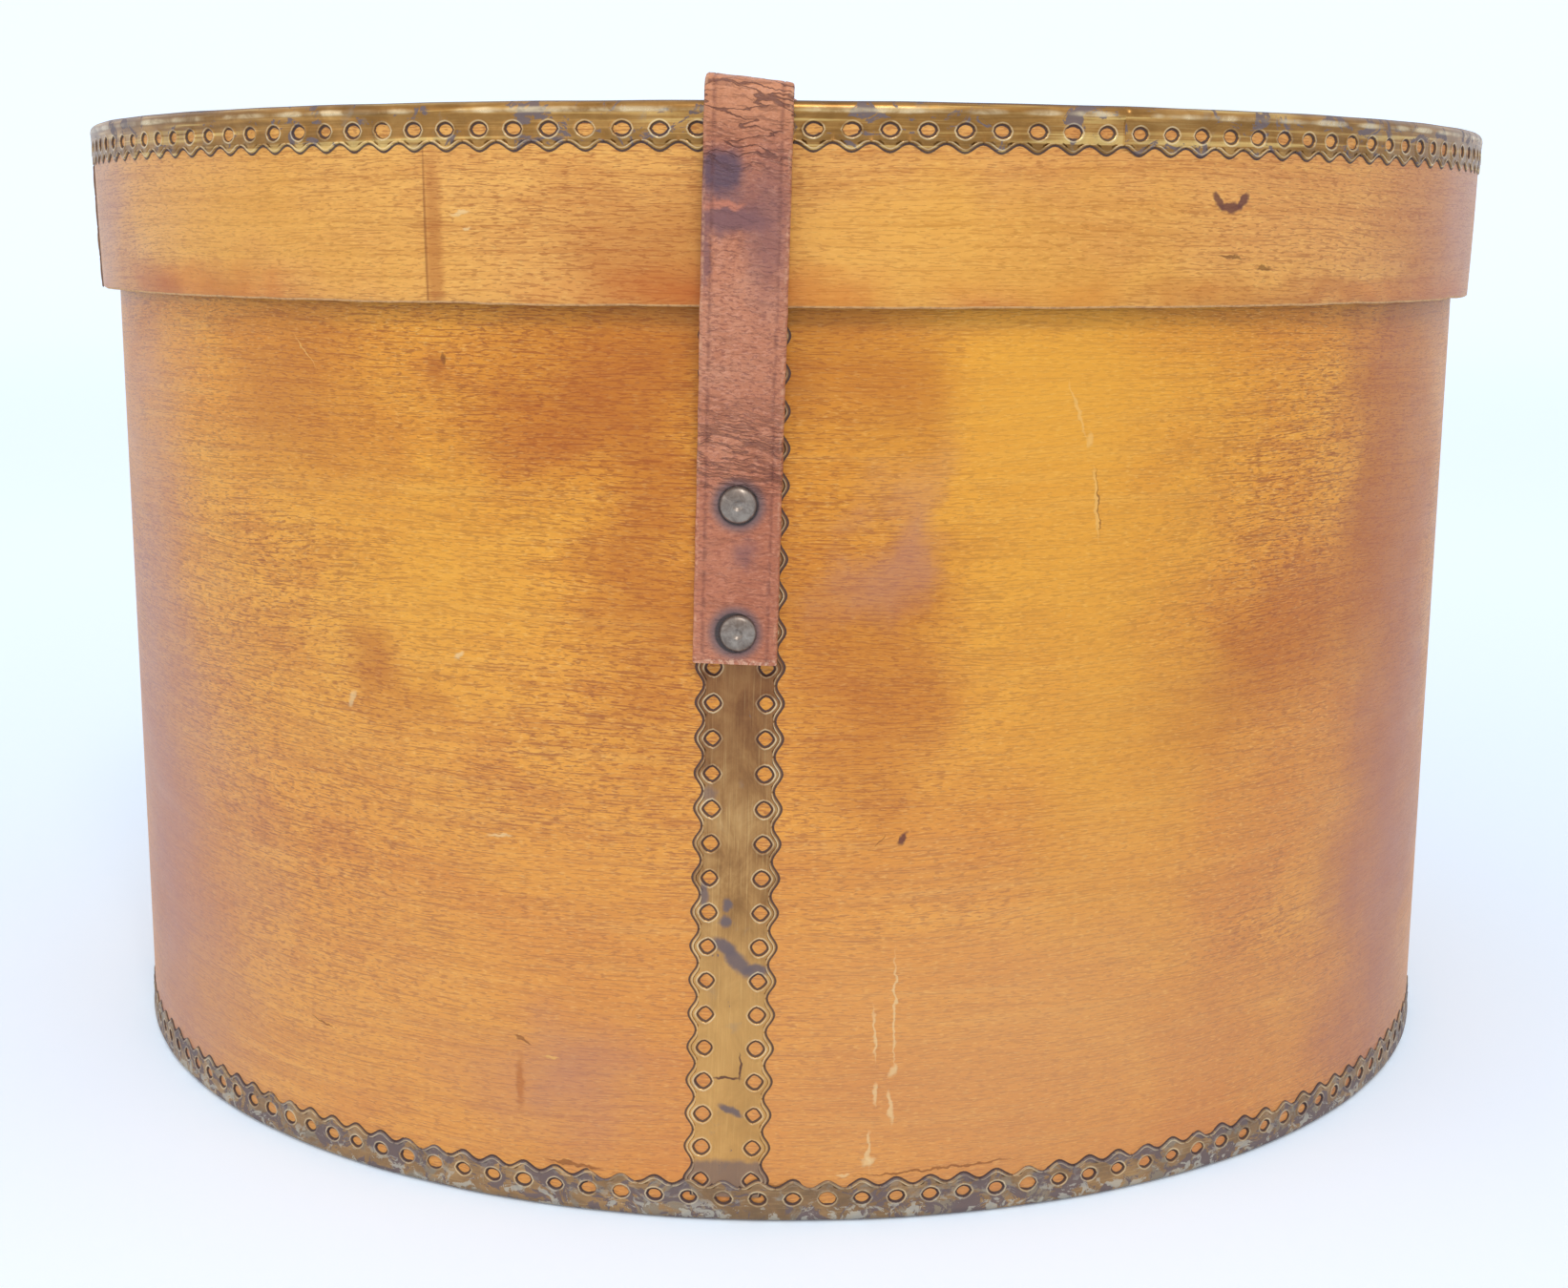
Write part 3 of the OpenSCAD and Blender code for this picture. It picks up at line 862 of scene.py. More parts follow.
@dataclass(frozen=True)
class AgedPlating:
    """Brass-coloured plating on thin sheet: bright where it stands out, rubbed and with painted highlights,
    and dark in its creases and along its edges, with dirt and painted shade.
    """

    name: str
    state: Plating
    stains: tuple[Stain, ...] = ()

    def brushed(self, shade: Shader, coords: Socket, along: Socket, patch: Socket) -> None:
        """Lay on the plating itself, as each state of wear has it, with partly painted shade towards the seam
        strip's top.

        Args:
            shade: The node tree.
            coords: Surface coordinates.
            along: The first of them.
            patch: Where it is lighter.
        """
        slow = shade.grain(coords, 16, 50, 3, 0.6)
        tone = shade.plus(shade.times(patch, 0.6), shade.times(slow, 0.4))
        tone = shade.plus(tone, self.state.value[0] - 0.52)
        shade.colour = shade.ramp(tone, [
            (0.32, srgb(98, 62, 38)), (0.43, srgb(136, 94, 54)), (0.52, srgb(166, 120, 70)),
            (0.62, srgb(190, 144, 88)), (0.76, srgb(218, 180, 122))])
        dark = shade.grain(coords, 50, 2600, 3, 0.6)
        shade.over(shade.step(dark, 0.42, 0.7, 0, 0.28), srgb(110, 72, 40))
        bright = shade.grain(coords, 60, 2200, 2, 0.6)
        shade.over(shade.step(bright, 0.55, 0.72, 0, 0.3), srgb(226, 188, 124))
        if self.state is Plating.GOLD:
            shade.over(0.22, srgb(206, 150, 40))
            band = shade.grain(coords, 14, 520, 3, 0.6, 0.3)
            shade.over(shade.step(band, 0.56, 0.44, 0, 0.42), srgb(104, 70, 26))
            shade.over(shade.step(band, 0.54, 0.66, 0, 0.50), srgb(244, 208, 128))
        if self.state is Plating.CORRODED:
            shade.over(0.34, srgb(152, 136, 108))
        # Seam strip: darker towards its top, partly its own tarnish and partly painted shade of the strap and
        # lid over it, and paler towards its foot.
        if self.state is Plating.STRIP:
            shade.over(shade.step(along, 80 * MM, 128 * MM, 0, 0.55), srgb(112, 62, 36))
            shade.over(shade.step(along, 85 * MM, 45 * MM, 0, 0.55), srgb(228, 174, 100))

    def material(self) -> Material:
        """Make the finish.

        Returns:
            The material.
        """
        _, grey, sound = self.state.value
        shade = Shader(self.name)
        coords = shade.coords()
        along, across, _ = shade.split(coords)
        relief = shade.relief()
        patch = shade.grain(coords, 90, 150, 5, 0.66, 0.5)
        self.brushed(shade, coords, along, patch)
        zinc = shade.grain(coords, 120, 150, 4, 0.65, 0.6)
        zincs = shade.step(zinc, 0.64 - 0.16 * grey, 0.74 - 0.16 * grey, 0, 0.8 * min(1, grey + 0.2))
        shade.over(zincs, srgb(138, 128, 112))
        rust = shade.grain(coords, 105, 150, 5, 0.7, 1.2)
        rusty = shade.step(rust, sound - 0.03, sound)
        ragged = shade.stray(coords, 500, 2, 1.6 * MM, 1.6 * MM)
        masks = [shade.times(stain.mask(shade, ragged), stain.share) for stain in self.stains]
        shade.over(shade.times(rusty, 0.9), srgb(104, 88, 88))
        for stain, mask in zip(self.stains, masks):
            shade.over(shade.times(mask, 0.92), stain.colour)
            rusty = shade.most(rusty, mask)
        # Raised relief is painted lighter: rubbed plating, and painted highlights on the hole lips, the rims
        # of the scalloped edges and the bead and creases of a folded band.
        ridge = shade.step(relief, 0.25, 0.9)
        worn = shade.times(ridge, shade.step(patch, 0.36, 0.62, 0.15, 1.0))
        shade.over(shade.times(worn, 0.62), srgb(246, 222, 176))
        if self.state is Plating.CORRODED:
            flake = shade.step(shade.grain(coords, 210, 300, 5, 0.7, 0.8), 0.545, 0.575)
            flake = shade.times(flake, shade.step(across, 5.5 * MM, 1.5 * MM, 0.2, 1))
            shade.over(shade.times(flake, 0.66), srgb(188, 182, 166))
            rusty = shade.most(rusty, flake)
        # Sunk relief is painted dark: painted shade at the hole edges, in the dip round each lip, along the
        # scalloped edges and in a band's butt joint, and dirt on the board side of a band's fold.
        crease = shade.step(relief, -0.2, -0.85)
        shade.over(shade.times(crease, 0.88), srgb(66, 40, 34))
        dull = shade.most(shade.times(rusty, 0.85), shade.times(crease, 0.95))
        dull = shade.most(dull, shade.times(zincs, 0.6))
        metal = shade.math("SUBTRACT", 0.74 - 0.2 * grey, shade.times(dull, 0.8), clamp=True)
        rough = shade.plus(0.30 + 0.14 * grey, shade.times(dull, 0.3))
        rough = shade.math("SUBTRACT", rough, shade.times(worn, 0.06))
        height = shade.plus(shade.times(zinc, 0.6), shade.times(rusty, -0.4))
        height = shade.plus(height, shade.times(patch, 0.8))
        shade.bump(height, 0.45 + 0.3 * grey, 0.16 * MM)
        return shade.finish(rough, metal)


@dataclass(frozen=True)
class PlainMetal:
    """Tarnished solid metal, for rivets, washers, brads and the buckle."""

    name: str
    dark: Colour
    light: Colour
    rough: float

    def material(self) -> Material:
        """Make the finish.

        Returns:
            The material.
        """
        shade = Shader(self.name)
        place = shade.place()
        patch = shade.cloud(place, 420, 4, 0.65, 0.5)
        scuffs = shade.grain(place, 900, 1400, 3, 0.6, z=260)
        shade.colour = self.dark
        shade.over(shade.step(patch, 0.30, 0.72), self.light)
        shade.over(shade.step(scuffs, 0.6, 0.75, 0, 0.25), srgb(70, 56, 44))
        rough = shade.step(patch, 0.3, 0.7, self.rough + 0.14, self.rough - 0.06)
        shade.bump(scuffs, 0.25, 0.08 * MM)
        return shade.finish(rough, 0.85)


@dataclass(frozen=True)
class WornLeather:
    """Reddish-brown strap leather. The first coordinate runs along the strap and the second across it.

    Attributes:
        name: Name of the material.
        half_width: Half the strap's width.
        bend: Distance along it to the bend over the rim.
        rivets: Distances along it to its rivets.
        stains: Its stains.
    """

    name: str
    half_width: float
    bend: float
    rivets: tuple[float, ...]
    stains: tuple[Stain, ...] = ()

    def cracks(self, shade: Shader, coords: Socket, along: Socket, across: Socket) -> Socket:
        """Fine cracks that run across the strap, most of them at its bend and above its rivet.

        Args:
            shade: The node tree.
            coords: Surface coordinates.
            along: The first of them.
            across: The second of them.

        Returns:
            How cracked the leather is, from 0 to 1.
        """
        sway = shade.times(shade.cloud(coords, 200, 3), 3.0 * MM)
        line = shade.plus(shade.plus(along, sway), shade.times(across, 0.12))
        fine, coarse, close = (
            shade.cloud(shade.join(shade.times(line, long), shade.times(across, wide)), 1, detail, rough)
            for long, wide, detail, rough in ((1600, 120, 3, 0.6), (330, 55, 2, 0.5), (800, 75, 2, 0.5)))
        at_bend = shade.times(shade.step(along, self.bend - 20 * MM, self.bend - 12 * MM),
                              shade.step(along, self.bend + 30 * MM, self.bend + 12 * MM))
        at_rivet = shade.times(shade.step(along, 34 * MM, 37 * MM), shade.step(along, 60 * MM, 46 * MM))
        worked = shade.most(at_bend, at_rivet)
        light = shade.times(shade.step(fine, 0.53, 0.62), shade.plus(0.22, shade.times(worked, 0.22)))
        open_bend = shade.step(shade.math("ABSOLUTE", shade.math("SUBTRACT", coarse, 0.5)), 0.022, 0.006)
        open_rivet = shade.step(shade.math("ABSOLUTE", shade.math("SUBTRACT", close, 0.5)), 0.045, 0.010)
        deep = shade.most(shade.times(open_bend, at_bend),
                          shade.times(open_rivet, shade.times(at_rivet, 0.75)))
        return shade.most(light, deep)

    def grained(self, shade: Shader, coords: Socket, along: Socket, across: Socket) -> tuple[Socket, Socket]:
        """Lay on the colour of the leather, with its specks and pits and a painted highlight over the bend.

        Args:
            shade: The node tree.
            coords: Surface coordinates.
            along: The first of them.
            across: The second of them.

        Returns:
            Its clouds and its specks, for the bumps.
        """
        cloud = shade.grain(coords, 70, 120, 5, 0.66, 0.5)
        broad = shade.grain(coords, 22, 40, 3, 0.5)
        tone = shade.plus(shade.times(cloud, 0.5), shade.times(broad, 0.5))
        shade.colour = shade.ramp(tone, [
            (0.32, srgb(158, 88, 58)), (0.44, srgb(180, 108, 74)), (0.55, srgb(194, 122, 86)),
            (0.68, srgb(208, 140, 104))])
        sway = shade.plus(along, shade.times(shade.cloud(coords, 420, 2), 1.2 * MM))
        swayed = shade.join(sway, across)
        speck = shade.grain(swayed, 1500, 480, 4, 0.7)
        shade.over(shade.step(speck, 0.50, 0.62, 0, 0.5), srgb(222, 154, 122))
        pits = shade.grain(swayed, 2000, 620, 3, 0.65)
        shade.over(shade.step(pits, 0.50, 0.62, 0, 0.55), srgb(120, 58, 44))
        # Painted highlight: the leather is lighter from just below the top of the bend onwards, where light
        # falls on it.
        bend_highlight = shade.step(along, self.bend - 14 * MM, self.bend - 4 * MM)
        shade.over(shade.times(bend_highlight, 0.5), srgb(214, 144, 98))
        foxed = shade.step(along, 46 * MM, 36 * MM)
        shade.over(shade.times(foxed, 0.35), srgb(178, 98, 66))
        return cloud, speck

    def material(self) -> Material:
        """Make the finish.

        Returns:
            The material.
        """
        shade = Shader(self.name)
        coords = shade.coords()
        along, across, _ = shade.split(coords)
        cloud, speck = self.grained(shade, coords, along, across)
        soaked = shade.stray(coords, 330, 4, 5 * MM, 4 * MM)
        for stain in self.stains:
            shade.over(shade.times(stain.mask(shade, soaked), stain.share), stain.colour)
        for rivet in self.rivets:
            halo = shade.spot(coords, rivet, 0.0, 11.2 * MM, 11.2 * MM, 0, 0.22)
            shade.over(shade.times(halo, 0.75), srgb(92, 84, 88))
            # Painted shade: a near-black disc under each rivet head, which shows where the head meets the
            # leather.
            gap = shade.spot(coords, rivet, 0.0, 8.6 * MM, 8.6 * MM, 0, 0.06)
            shade.over(shade.times(gap, 0.9), srgb(40, 32, 30))
        cracked = self.cracks(shade, coords, along, across)
        shade.over(shade.times(cracked, 0.75), srgb(82, 36, 26))
        side = shade.math("ABSOLUTE", across)
        scuffed = shade.step(shade.cloud(coords, 700, 4, 0.7), 0.44, 0.60)
        edge = self.half_width
        rubbed = shade.times(shade.step(side, edge - 1.0 * MM, edge - 0.4 * MM), scuffed)
        rubbed = shade.times(rubbed, shade.step(cloud, 0.42, 0.58, 0.15, 0.6))
        shade.over(rubbed, srgb(226, 170, 132))
        broken = shade.step(shade.cloud(coords, 420, 2), 0.36, 0.56)
        crease = shade.times(shade.step(side, edge - 2.9 * MM, edge - 2.2 * MM),
                             shade.step(side, edge - 2.0 * MM, edge - 1.4 * MM, 1, 0))
        shade.over(shade.times(shade.times(crease, broken), 0.38), srgb(104, 52, 42))
        foot = shade.plus(along, shade.times(shade.math("SUBTRACT", cloud, 0.5), 2 * MM))
        frayed = shade.times(shade.step(foot, 1.1 * MM, 0.4 * MM), scuffed)
        shade.over(shade.times(frayed, 0.8), srgb(222, 176, 146))
        grain = shade.node("TexVoronoi", feature="F1")
        shade.feed(grain.inputs["Vector"], shade.scaled(coords, 1700, 1500))
        grain.inputs["Scale"].default_value = 1.0
        height = shade.plus(shade.times(grain.outputs["Distance"], -0.45), shade.times(cracked, -1.8))
        height = shade.plus(height, shade.times(cloud, 0.8))
        height = shade.plus(height, shade.times(speck, 0.8))
        shade.bump(height, 0.7, 0.28 * MM)
        return shade.finish(shade.step(cloud, 0.3, 0.7, 0.60, 0.42))


# ------------------------------------------------------------------ bent walls


@dataclass
class BentWall(Part):
    """A plywood sheet bent into a ring, with a butt joint at its seam.

    Attributes:
        seam: Azimuth of the joint, in degrees.
        waver: How far the lower edge wanders up and down.
        taper: How much narrower the wall is at its lower edge.
        gap: Width of the joint.
        wall: Thickness of the sheet.
        turns: How many steps go round it.
    """

    seam: float
    waver: float = 0.0
    taper: float = 0.0
    gap: float = 0.4 * MM
    wall: float = 3.0 * MM
    turns: int = 384
    low: float = field(init=False)
    high: float = field(init=False)
    outer: float = field(init=False)

    def __post_init__(self) -> None:
        """Read the wall's size from its CAD node."""
        corner_low, corner_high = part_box(self.node)
        self.low, self.high, self.outer = corner_low.z, corner_high.z, corner_high.x

    def section(self) -> tuple[Array, list[int]]:
        """The closed outline of the sheet's edge.

        Returns:
            Places as [distance in from the outer face, height], and the slot of the face after each.
        """
        soft = 0.45 * MM
        rows = np.linspace(self.low + soft, self.high - soft, 24)
        outer = [(0.0, z, 0) for z in rows]
        top = [(soft * 0.3, self.high - soft * 0.3, 1), (soft, self.high, 1),
               (self.wall - soft, self.high, 1)]
        inner = [(self.wall, z, 2) for z in rows[::-4]]
        foot = [(self.wall - soft, self.low, 1), (soft, self.low, 1), (soft * 0.3, self.low + soft * 0.3, 1)]
        ring = outer + top + inner + foot
        slots = [item[2] for item in ring]
        slots[len(outer) - 1] = 1
        slots[len(outer) + len(top) + len(inner) - 1] = 1
        return np.array([item[:2] for item in ring]), slots

    def build(self, materials: Sequence[Material]) -> Piece:
        """Make the wall.

        Args:
            materials: The varnished face, the cut edge and the inside.

        Returns:
            The wall, riding on its body.
        """
        ring, slots = self.section()
        half_gap = self.gap / 2 / self.outer
        sweep = np.linspace(half_gap, 2 * pi - half_gap, self.turns + 1)
        azimuth = sweep + radians(self.seam)
        height = np.repeat(ring[None, :, 1], len(sweep), 0)
        share = np.clip((self.high - height) / (self.high - self.low), 0, 1)
        radius = self.outer - ring[None, :, 0] - self.taper * share ** 2
        near_foot = ease(height, self.low + 4 * MM, self.low)
        wander = np.array([ripple(6 * cos(a), 6 * sin(a), 2.0) + 0.5 * ripple(
            40 * cos(a), 40 * sin(a), 5.0) for a in sweep])
        height = height + self.waver * near_foot * np.abs(wander)[:, None]
        plan = MeshPlan()
        coords = np.stack([np.repeat(sweep[:, None] * self.outer, len(ring), 1), height], -1)
        start = plan.add(around(azimuth[:, None], radius, height), coords)
        plan.grid(start, len(sweep), len(ring), close_columns=True, slots=slots)
        plan.close_ends(start, len(sweep), len(ring), 1)
        piece = plan.build(self.name, materials)
        sharpen(piece, 50)
        return settle(piece, self.body, self.node)


# ------------------------------------------------------------------ punched metal edging


@dataclass(frozen=True)
class PunchedStock:
    """Thin strip with scalloped edges and a row of punched, lipped holes along each edge.

    It is used flat over the wall seams, and folded along its middle round the rim and the foot.
    """

    width: float = 18.5 * MM
    row_gap: float = 11.3 * MM
    pitch: float = 7.7 * MM
    hole: float = 3.9 * MM
    scallop: float = 1.75 * MM
    sheet: float = 0.32 * MM
    lip: float = 0.22 * MM
    inner: float = 3.0 * MM
    squareness: float = 1.45
    flat: float = 1.0
    # Width of the dark film of painted shade round each hole and past the scalloped edges.
    edge_shade: float = 0.42 * MM

    @property
    def row(self) -> float:
        """Distance from the middle of the strip to a row of holes."""
        return self.row_gap / 2

    def edge(self, offset: Array) -> Array:
        """Distance from the row of holes to the scalloped edge, at an offset along the strip."""
        return self.width / 2 - self.row - self.scallop * np.sin(pi * offset / self.pitch) ** 2

    def outline(self, pitch: float) -> tuple[Array, Array]:
        """The outline of one hole's share of the strip.

        Args:
            pitch: Distance from one hole to the next where the strip is used.

        Returns:
            Places as [along, out towards the edge] from the hole, and 1 for those on the scalloped edge.
        """
        half = pitch / 2
        crest = np.linspace(-half, half, 13)
        scallops = np.stack([crest, self.edge(crest * self.pitch / pitch)], -1)
        corner = scallops[-1, 1]
        side = np.array([corner - 0.3 * MM, (corner - self.inner) / 2 + 0.3 * MM, -self.inner * 0.55])
        right = np.stack([np.full(3, half), side], -1)
        floor = np.stack([np.linspace(half, -half, 9), np.full(9, -self.inner)], -1)
        left = np.stack([np.full(3, -half), side[::-1]], -1)
        places = np.vstack([scallops, right, floor, left])
        on_edge = np.concatenate([np.ones(13), np.zeros(3 + 9 + 3)])
        return places, on_edge

    def cell(self, pitch: float, chance: np.random.Generator) -> tuple[Array, ...]:
        """The sheet round one hole, as rings of points from the hole outwards.

        Args:
            pitch: Distance from one hole to the next.
            chance: Where the small differences between holes come from.

        Returns:
            Along, out, height over the wood and relief, each as rings by points.
        """
        places, on_edge = self.outline(pitch)
        theta = np.arctan2(places[:, 1], places[:, 0])
        power = self.squareness * chance.uniform(0.92, 1.12)
        turn = chance.uniform(-0.14, 0.14)
        size = self.hole / 2 * chance.uniform(0.94, 1.06)
        squared = np.abs(np.cos(theta - turn)) ** power + np.abs(np.sin(theta - turn) / self.flat) ** power
        hole = size * squared ** (-1 / power)
        outwards = np.stack([np.cos(theta), np.sin(theta)], -1)
        lip = self.lip * chance.uniform(0.8, 1.2)
        # The lip's relief is stronger on this side as a painted highlight crescent, and the lip also rises
        # more there.
        low_side = 0.7 + 0.3 * np.sin(theta + chance.uniform(-0.4, 0.4))

        def ring(extra: float) -> Array:
            """The points at a distance in mm beyond the edge of the hole."""
            return outwards * (hole + extra * MM)[:, None]

        even = np.ones(len(theta))
        # Relief -0.75 to -1 on the hole's wall and a thin film over the wood inside it: painted shade at the
        # hole's edge.
        shaded_rings = ((-self.edge_shade / MM, 0.012, -0.75), (-0.04, 0.015, -1.0), (0.0, self.sheet * 0.9 / MM, -0.9))
        # Relief of the lip from 1 down to -0.35 in the dip beyond it: painted highlight on the lip, painted
        # shade in the dip.
        raised = ((0.18, 1.0, 1.0), (0.38, 0.9, 0.8), (0.66, 0.2, 0.0), (0.95, -0.12, -0.35))
        layers = [(ring(extra), even * height * MM, even * mark) for extra, height, mark in shaded_rings]
        layers += [(ring(extra), self.sheet + lip * rise * low_side, mark * (0.55 + 0.45 * low_side))
                   for extra, rise, mark in raised]
        layers.append(((layers[-1][0] + places) / 2, self.sheet + 0.0 * on_edge, 0.0 * on_edge))
        reach = np.maximum(np.linalg.norm(places, axis=1), 1e-6)
        # A small rim along the scalloped edge, marked 0.9: painted highlight.
        for back, rise, mark in ((0.75, -0.02, -0.2), (0.48, 0.10, 0.9), (0.14, 0.02, 0.1)):
            at_edge = places * (1 - back * MM / reach)[:, None]
            inside = places * (1 - 0.02 * back)
            layers.append((np.where(on_edge[:, None] > 0, at_edge, inside),
                           self.sheet + rise * MM * on_edge, mark * on_edge))
        # The scalloped edge and a thin film past it on the wood, marked -1 and -0.8: painted shade along the
        # edge.
        layers.append((places, np.where(on_edge > 0, 0.02 * MM, self.sheet), -on_edge))
        layers.append((places + np.stack([np.zeros_like(theta), on_edge * self.edge_shade], -1),
                       np.where(on_edge > 0, 0.012 * MM, self.sheet), -0.8 * on_edge))
        shape, heights, relief = (np.stack(part) for part in zip(*layers))
        return shape[..., 0], shape[..., 1], heights, relief


@dataclass
class FoldedBand(Part):
    """Punched strip folded along its middle over the corner of a wall.

    Attributes:
        wall: The wall under it.
        corner: Height of the board that the fold lies on.
        upward: True at the rim, False at the foot.
        start: Azimuth of its butt joint, in degrees.
        seed: Picks the small differences between holes.
        humps: Azimuths in degrees at which it runs over a seam strip, with the strip's width in degrees.
        polish_and_highlight: How far the corner is rubbed bright and carries a painted highlight, from 0 to
            1.
    """

    wall: float
    corner: float
    upward: bool
    start: float
    seed: int
    stock: PunchedStock = PunchedStock(width=17.7 * MM, row_gap=9.3 * MM, hole=4.0 * MM, inner=2.9 * MM,
                                       squareness=1.7, flat=0.76)
    bend: float = 1.3 * MM
    bead: float = 0.44 * MM
    polish_and_highlight: float = 1.0
    humps: tuple[tuple[float, float], ...] = ()

    def lift(self, azimuth: Array) -> Array:
        """Extra height over the wood, at azimuths in radians."""
        extra = np.zeros_like(azimuth)
        for middle, width in self.humps:
            away = np.abs((np.degrees(azimuth) - middle + 180) % 360 - 180)
            extra = extra + 0.30 * MM * ease(away, width * 0.75, width * 0.5)
        past_joint = (np.degrees(azimuth) - self.start) % 360
        return extra + 0.30 * MM * ease(past_joint, 1.2, 0.0)

    def surface(self, across: Array, height: Array, azimuth: Array) -> Array:
        """Where a point of the strip lies once it is folded.

        Args:
            across: Distance from the fold line, positive on the wall and negative on the board.
            height: Height over the wood.
            azimuth: Radians from the front.

        Returns:
            Places, with 3 numbers in the last axis.
        """
        arc = self.bend * pi / 2
        angle = np.clip(0.5 - across / arc, 0, 1) * pi / 2
        past_wall = np.maximum(across - arc / 2, 0)
        past_board = np.maximum(-across - arc / 2, 0)
        bead = self.bead * np.exp(-(across / (2.0 * MM)) ** 2)
        crease = 0.08 * MM * np.exp(-((np.abs(across) - 2.4 * MM) / (0.45 * MM)) ** 2)
        sag = 0.05 * MM * np.sin(azimuth * 37 + 1.0) * np.sin(azimuth * 11)
        depth = height + np.where(across > 0, self.lift(azimuth) * ease(across, 0, 3 * MM), 0)
        depth = self.bend + depth + np.where(height > 0, bead + crease + sag, 0)
        radius = self.wall - self.bend + depth * np.cos(angle) - past_board
        rise = -self.bend + depth * np.sin(angle) - past_wall
        level = self.corner + rise if self.upward else self.corner - rise
        return around(azimuth, radius, level)

    def build(self, material: Material) -> Piece:
        """Make the band.

        Args:
            material: Its plating.

        Returns:
            The band, riding on its body.
        """
        chance = np.random.default_rng(self.seed)
        stock = self.stock
        count = round(2 * pi * self.wall / stock.pitch)
        pitch = 2 * pi * self.wall / count
        plan = MeshPlan()
        for index in range(count):
            centre = radians(self.start) + (index + 0.5) * pitch / self.wall
            for side in (1, -1):
                along, out, height, relief = stock.cell(pitch, chance)
                azimuth = centre + along / self.wall
                across = side * (stock.row + out)
                start = plan.add(self.surface(across, height, azimuth),
                                 np.stack([azimuth * self.wall, across], -1), relief)
                plan.grid(start, *along.shape, close_columns=True)
        line = np.linspace(0, count, count * 4 + 1) * pitch / self.wall + radians(self.start)
        middle = np.linspace(-(stock.row - stock.inner), stock.row - stock.inner, 19)
        azimuth, across = np.meshgrid(line, middle, indexing="ij")
        height = np.full_like(across, stock.sheet)
        # Relief along the band's middle: a bright line along the bead and each crease, partly rubbed plating
        # and partly painted highlight, scaled by polish; and a dark strip of dirt on the board side of the
        # fold.
        rubbed = np.array([0.75 + 0.9 * ripple(25 * cos(a), 25 * sin(a), 4.0) for a in line])
        worn = 1.0 * np.exp(-((across - 0.95 * MM) / (0.60 * MM)) ** 2) * np.clip(rubbed, 0, 1)[:, None]
        worn += 0.45 * np.exp(-((np.abs(across) - 2.4 * MM) / (0.30 * MM)) ** 2)
        worn = worn * self.polish_and_highlight - 0.85 * np.exp(-((across + 0.9 * MM) / (0.9 * MM)) ** 2)
        start = plan.add(self.surface(across, height, azimuth),
                         np.stack([azimuth * self.wall, across], -1), worn)
        plan.grid(start, *across.shape)
        # A skirt under the butt joint, marked -1: painted shade in the joint.
        under = self.surface(middle, np.full_like(middle, -0.03 * MM), np.full_like(middle, line[0]))
        skirt = plan.add(under, np.stack([np.full_like(middle, line[0] * self.wall), middle], -1),
                         np.full(19, -1.0))
        for column in range(18):
            plan.face((skirt + column, skirt + column + 1, start + column + 1, start + column))
        return self.settled(plan, [material])


@dataclass
class SeamStrip(Part):
    """Punched strip laid flat over a wall seam.

    Attributes:
        wall: Radius of the wall at a height.
        seam: Azimuth of its middle, in degrees.
        low: Height of its lower end.
        high: Height of its upper end.
        seed: Picks the small differences between holes.
        lean: How far the strip slants to the left over its whole length.
        crossing: Share of the length, from the top, at which the slanting strip crosses the seam.
        upright: Share of the length above the crossing at which the slant stops.
        kick: How much more it would slant over its whole length, below kick_from.
        kick_from: Share of the length, from the top, at which the kick starts.
        stock: The metal that it is cut from.
    """

    wall: Callable[[Array], Array]
    seam: float
    low: float
    high: float
    seed: int
    lean: float = 0.0
    crossing: float = 0.53
    upright: float = 0.28
    kick: float = 3.0 * MM
    kick_from: float = 0.60
    stock: PunchedStock = PunchedStock()

    def build(self, material: Material) -> Piece:
        """Make the strip.

        Args:
            material: Its plating.

        Returns:
            The strip, riding on its body.
        """
        chance = np.random.default_rng(self.seed)
        stock = self.stock
        count = max(1, round((self.high - self.low) / stock.pitch))
        pitch = (self.high - self.low) / count
        middle_azimuth = radians(self.seam)
        plan = MeshPlan()

        def surface(height_up: Array, across: Array, over: Array) -> Array:
            """Lay a point of the strip on the wall."""
            radius = self.wall(height_up)
            share = (self.high - height_up) / (self.high - self.low)
            slant = self.lean * np.minimum(self.crossing - share, self.upright)
            sideways = across + slant - self.kick * np.maximum(share - self.kick_from, 0)
            return around(middle_azimuth + sideways / radius, radius + over, height_up)

        for index in range(count):
            for side in (1, -1):
                along, out, over, relief = stock.cell(pitch, chance)
                height_up = self.low + (index + 0.5) * pitch + along
                across = side * (stock.row + out)
                start = plan.add(surface(height_up, across, over),
                                 np.stack([height_up, across], -1), relief)
                plan.grid(start, *along.shape, close_columns=True)
        line = np.linspace(self.low, self.high, count * 3 + 1)
        middle = np.linspace(-(stock.row - stock.inner), stock.row - stock.inner, 9)
        height_up, across = np.meshgrid(line, middle, indexing="ij")
        swell = 0.04 * MM * np.sin(height_up * 90) + stock.sheet
        swell = np.where(np.abs(across) > 0.99 * middle[-1], stock.sheet, swell)
        start = plan.add(surface(height_up, across, swell), np.stack([height_up, across], -1))
        plan.grid(start, *across.shape)
        return self.settled(plan, [material])


# ------------------------------------------------------------------ leather strap


